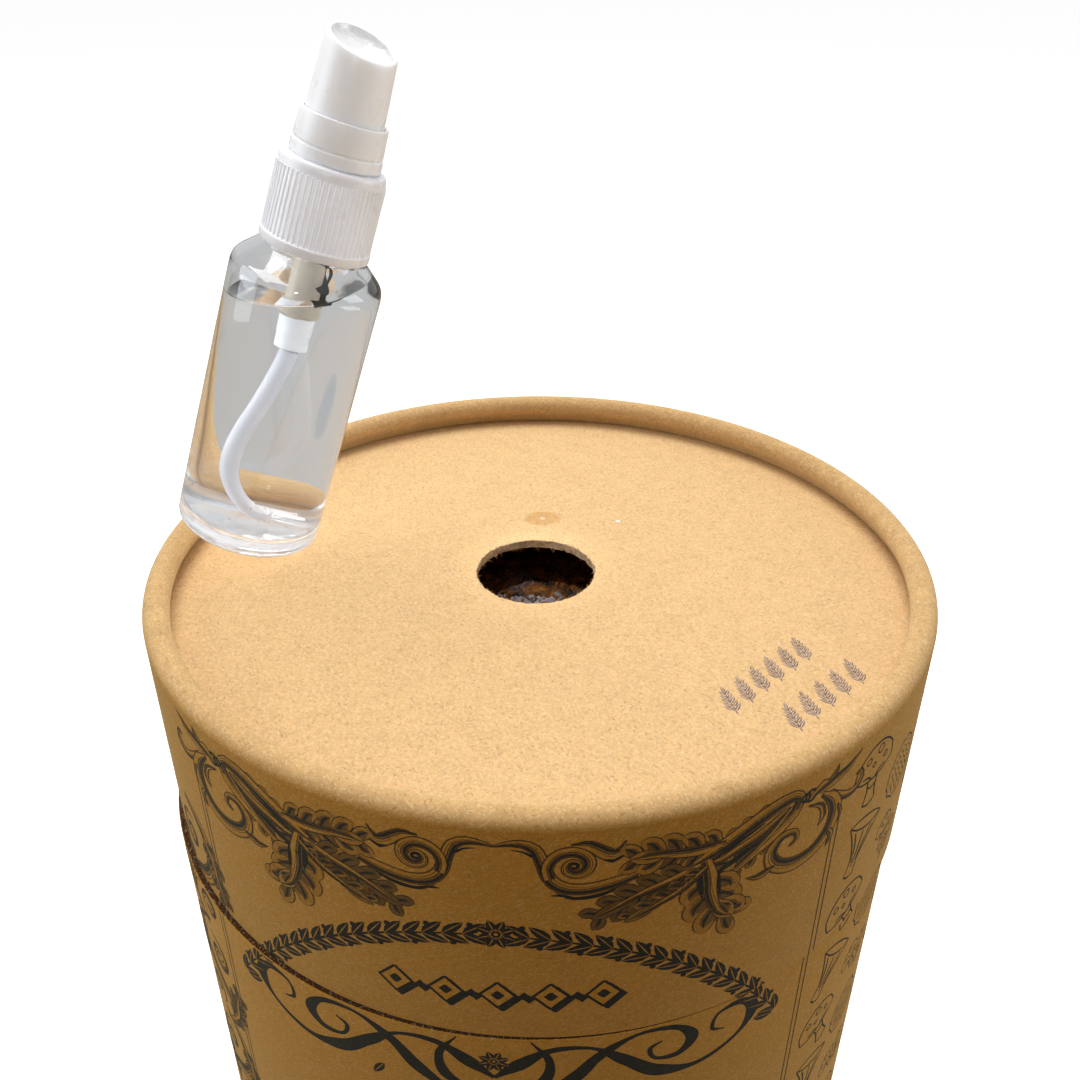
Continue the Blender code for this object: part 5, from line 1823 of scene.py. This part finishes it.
def flat_print(name, art, keep_above=None, keep_below=None):
    """Make strokes a flat mesh in metres, cut at a height if one is given."""
    shape = bmesh.new()
    ink_layer = shape.faces.layers.float.new("Ink")
    for left, right, ink, depth in art:
        height = FIRST_LIFT + depth * DEPTH_LIFT
        sides = [[shape.verts.new((x * MM, y * MM, height)) for x, y in side] for side in (left, right)]
        for index in range(len(left) - 1):
            corners = (sides[0][index], sides[1][index], sides[1][index + 1], sides[0][index + 1])
            face = shape.faces.new(corners)
            face[ink_layer] = ink
            face.normal_update()
            if face.normal.z < 0:
                face.normal_flip()
    for limit, side in ((keep_above, -1.0), (keep_below, 1.0)):
        if limit is not None:
            cut_off(shape, (0.0, limit, 0.0), (0.0, side, 0.0))
    return write_mesh(name, shape)


def wrap_print(name, mesh, radius, middle_x):
    """Roll a flat print round the lid or the base."""
    made = grow(name, mesh, wrap, {
        "Radius": radius, "Arc Radius": LID_RADIUS, "Middle X": middle_x, "Top": RIM_TOP,
        "Material": printing_ink})
    return dress(made, "kit", printing_ink, "kraft_paper")


print("strokes lie from", round(FIRST_LIFT / MM, 3), "mm off the wall")

# %% [markdown]
# Half of the label is drawn, then mirrored, and its garland also stands upside down at the
# foot. The same flat drawing serves the lid and the base, each cut at its own edge.

# %% Compose and wrap the print
LABEL_MIDDLE = -7.0
FRAME_AT = 60.7
FRAME_TOP = -16.0
SIDE_SCROLL_AT = -71.0
FIELD_FROM = 63.5
flourish_half = drawn(FLOURISH)
upper_half = garland_half + laurel_half()
framed_half = upper_half + frame_lines(FRAME_AT, FRAME_TOP, -230.0 - FRAME_TOP)
label = framed_half + mirrored(framed_half) + rosette((0.0, arch_height(0.0) + 0.3), 2.6)
label += divider() + flourish_half + mirrored(flourish_half) + rosette((0.0, -57.0), 2.2)
label += upside_down(upper_half + mirrored(upper_half)) + shaggy_cluster((0.0, -112.0), 27.0, 15, 1.0)
field_end = math.tau * LID_RADIUS / MM + SIDE_SCROLL_AT - 14.0
whole_print = moved(label + side_scroll(SIDE_SCROLL_AT, -30.0, -226.0)
                    + mushroom_field(FIELD_FROM, field_end), LABEL_MIDDLE)
flat_lid = flat_print("flat_lid_print", whole_print, keep_above=LID_LOWER_EDGE - RIM_TOP)
flat_base = flat_print("flat_base_print", whole_print, keep_below=base_end - 0.15 * MM - RIM_TOP)
lid_print = wrap_print("lid_print", flat_lid, wall_radius, LID_MIDDLE)
base_print = wrap_print("base_print", flat_base, sleeve_radius, BASE_MIDDLE)
print(len(whole_print), "strokes,", len(lid_print.data.polygons), "faces on the lid and",
      len(base_print.data.polygons), "on the base")

# %% [markdown]
# ## Stamp on the panel
# Near the right of the panel there are two short rows stamped in a thin grey ink. Here they are
# leafy sprigs. The stamp is flat, so its mesh only needs to be lifted to the panel.

# %% Stamp the panel
GREY_INK = {"Paper": (0.15, 0.115, 0.125, 1.0), "Mottle": 0.4, "Grain": 0.9, "Pale Flecks": 0.5}
ROWS = (((32.9, -45.3), (52.1, -26.7), 6), ((43.2, -49.9), (60.7, -33.7), 5))
SPRIG_LENGTH = 6.8
SPRIG_LEAN = math.radians(60.0)
stamp_ink = ink_finish("grey stamp ink", {
    "Paper": (*PANEL_BROWN, 1.0), "Mottle": 0.2}, GREY_INK, 0.25, 1.0)[0]


def sprig(length):
    """A stem along x with five pairs of slim leaves and one at its tip."""
    art = []
    brush(art, [(0.0, 0.0), (length, 0.0)], [0.3, 0.2], 0.9, 0)
    for pair in range(5):
        root = (length * (0.12 + 0.17 * pair), 0.0)
        reach = length * (0.36 - 0.035 * pair)
        for side in (1, -1):
            solid_leaf(art, root, side * 0.72, reach, 0.75, 2)
    solid_leaf(art, (0.9 * length, 0.0), 0.0, 0.25 * length, 0.7, 2)
    return art


stamp = []
for start, end, count in ROWS:
    way = math.atan2(end[1] - start[1], end[0] - start[0])
    for index in range(count):
        share = (index + 0.5) / count
        x, y = [a + (b - a) * share for a, b in zip(start, end)]
        stamp += moved(moved(sprig(SPRIG_LENGTH), -0.55 * SPRIG_LENGTH), x, y, way + SPRIG_LEAN)
stamp_print = stand("panel_stamp", flat_print("panel_stamp", stamp))
stamp_print.data.transform(Matrix.Translation((0.0, 0.0, PANEL_TOP)))
dress(stamp_print, "kit", stamp_ink, "kraft_paper")
print("stamp:", len(stamp_print.data.polygons), "faces")

# %% [markdown]
# ## Torn fibres
# Wherever the board was cut, short fibres stick out: round the cut-out and along the seam.
# They follow an edge and repeat by the hundred, so one node tree sets them. Each fibre is a
# slim bent cone with four sides. Its length and direction are random with a fixed seed.

# %% Build the fibre tree
fuzz, fuzz_in, fuzz_out = new_group("fibres along an edge", "GeometryNodeTree", {
    "Edge": "Geometry", "Count": 100, "Shortest": 0.25 * MM, "Longest": 0.8 * MM, "Middle X": 0.0,
    "Outwards": 0.5, "Upwards": 0.0, "Tangle": 0.9, "Seed": 1, "Material": "Material"},
    {"Geometry": "Geometry"})
edge_line = result(fuzz, "GeometryNodeMeshToCurve", {"Mesh": fuzz_in["Edge"]})
roots = result(fuzz, "GeometryNodeResampleCurve", {
    "Curve": edge_line, "Count": fuzz_in["Count"]}, mode="COUNT")
fibre = result(fuzz, "GeometryNodeMeshCone", {
    "Vertices": 4, "Side Segments": 3, "Radius Top": 0.01, "Radius Bottom": 0.1, "Depth": 1.0})
along = parts_of(fuzz, position_in(fuzz))["Z"]
bent = result(fuzz, "GeometryNodeSetPosition", {"Geometry": fibre, "Offset": vector_from(
    fuzz, X=times(fuzz, times(fuzz, along, along), 0.35))})
root_at = parts_of(fuzz, position_in(fuzz))
from_middle = vector_from(
    fuzz, X=maths(fuzz, "SUBTRACT", root_at["X"], fuzz_in["Middle X"]), Y=root_at["Y"])
outward = result(fuzz, "ShaderNodeVectorMath", {0: from_middle}, operation="NORMALIZE")
pushed = vector_maths(fuzz, "SCALE", outward, fuzz_in["Outwards"])
steered = vector_maths(fuzz, "ADD", pushed, vector_from(fuzz, Z=fuzz_in["Upwards"]))
any_way = random_vector(fuzz, (-1.0, -1.0, -1.0), (1.0, 1.0, 1.0), Seed=fuzz_in["Seed"])
tangled = vector_maths(fuzz, "SCALE", any_way, fuzz_in["Tangle"])
pointed = result(fuzz, "FunctionNodeAlignRotationToVector", {
    "Vector": vector_maths(fuzz, "ADD", steered, tangled)}, axis="Z")
end_tree(fuzz, fuzz_in, fuzz_out, result(fuzz, "GeometryNodeInstanceOnPoints", {
    "Points": roots, "Instance": bent, "Rotation": pointed,
    "Scale": random_size(fuzz, fuzz_in["Shortest"], fuzz_in["Longest"], Seed=fuzz_in["Seed"])}))


def ring_path(name, middle_x, radius_at, height, steps=360):
    """A closed ring of edges; radius_at gives the radius at an angle."""
    points = []
    for step in range(steps):
        angle = math.tau * step / steps
        points.append((*towards((middle_x, 0.0), angle, radius_at(angle)), height))
    mesh = bpy.data.meshes.new(name)
    mesh.from_pydata(points, [(step, (step + 1) % steps) for step in range(steps)], [])
    return mesh


print("fibre tree:", len(fuzz.nodes), "nodes")

# %% [markdown]
# Three edges get fibres. Those at the top and bottom of the cut-out point in over the hole.
# Those at the seam are much shorter, since the wrap was cut with a sharp blade.

# %% Grow fibres at the cut-out and the seam
fibre_paper = paper_finish("loose paper fibre", (0.36, 0.18, 0.06), 0.2)[0]
EDGES = (
    ("cut_out_fibres", HOLE_MIDDLE, lambda angle: hole_edge(angle, 0.0) + 0.1 * MM,
     PANEL_TOP - 0.05 * MM, 170, 0.25, 0.9, -0.6, 0.1, 3),
    ("cut_out_lower_fibres", HOLE_MIDDLE, lambda angle: hole_edge(angle, 1.0) + 0.1 * MM,
     PANEL_BOTTOM + 0.1 * MM, 150, 0.3, 1.3, -0.8, 0.0, 5),
    ("seam_fibres", LID_MIDDLE, lambda angle: wall_radius - 0.15 * MM,
     LID_LOWER_EDGE + 0.05 * MM, 150, 0.12, 0.35, 0.0, -0.3, 8),
)
for name, middle_x, radius_at, height, count, shortest, longest, outwards, upwards, seed in EDGES:
    fibres = grow(name, ring_path(name + "_path", middle_x, radius_at, height), fuzz, {
        "Count": count, "Shortest": shortest * MM, "Longest": longest * MM, "Middle X": middle_x,
        "Outwards": outwards, "Upwards": upwards, "Seed": seed, "Material": fibre_paper})
    dress(fibres, "kit", fibre_paper, "kraft_paper")
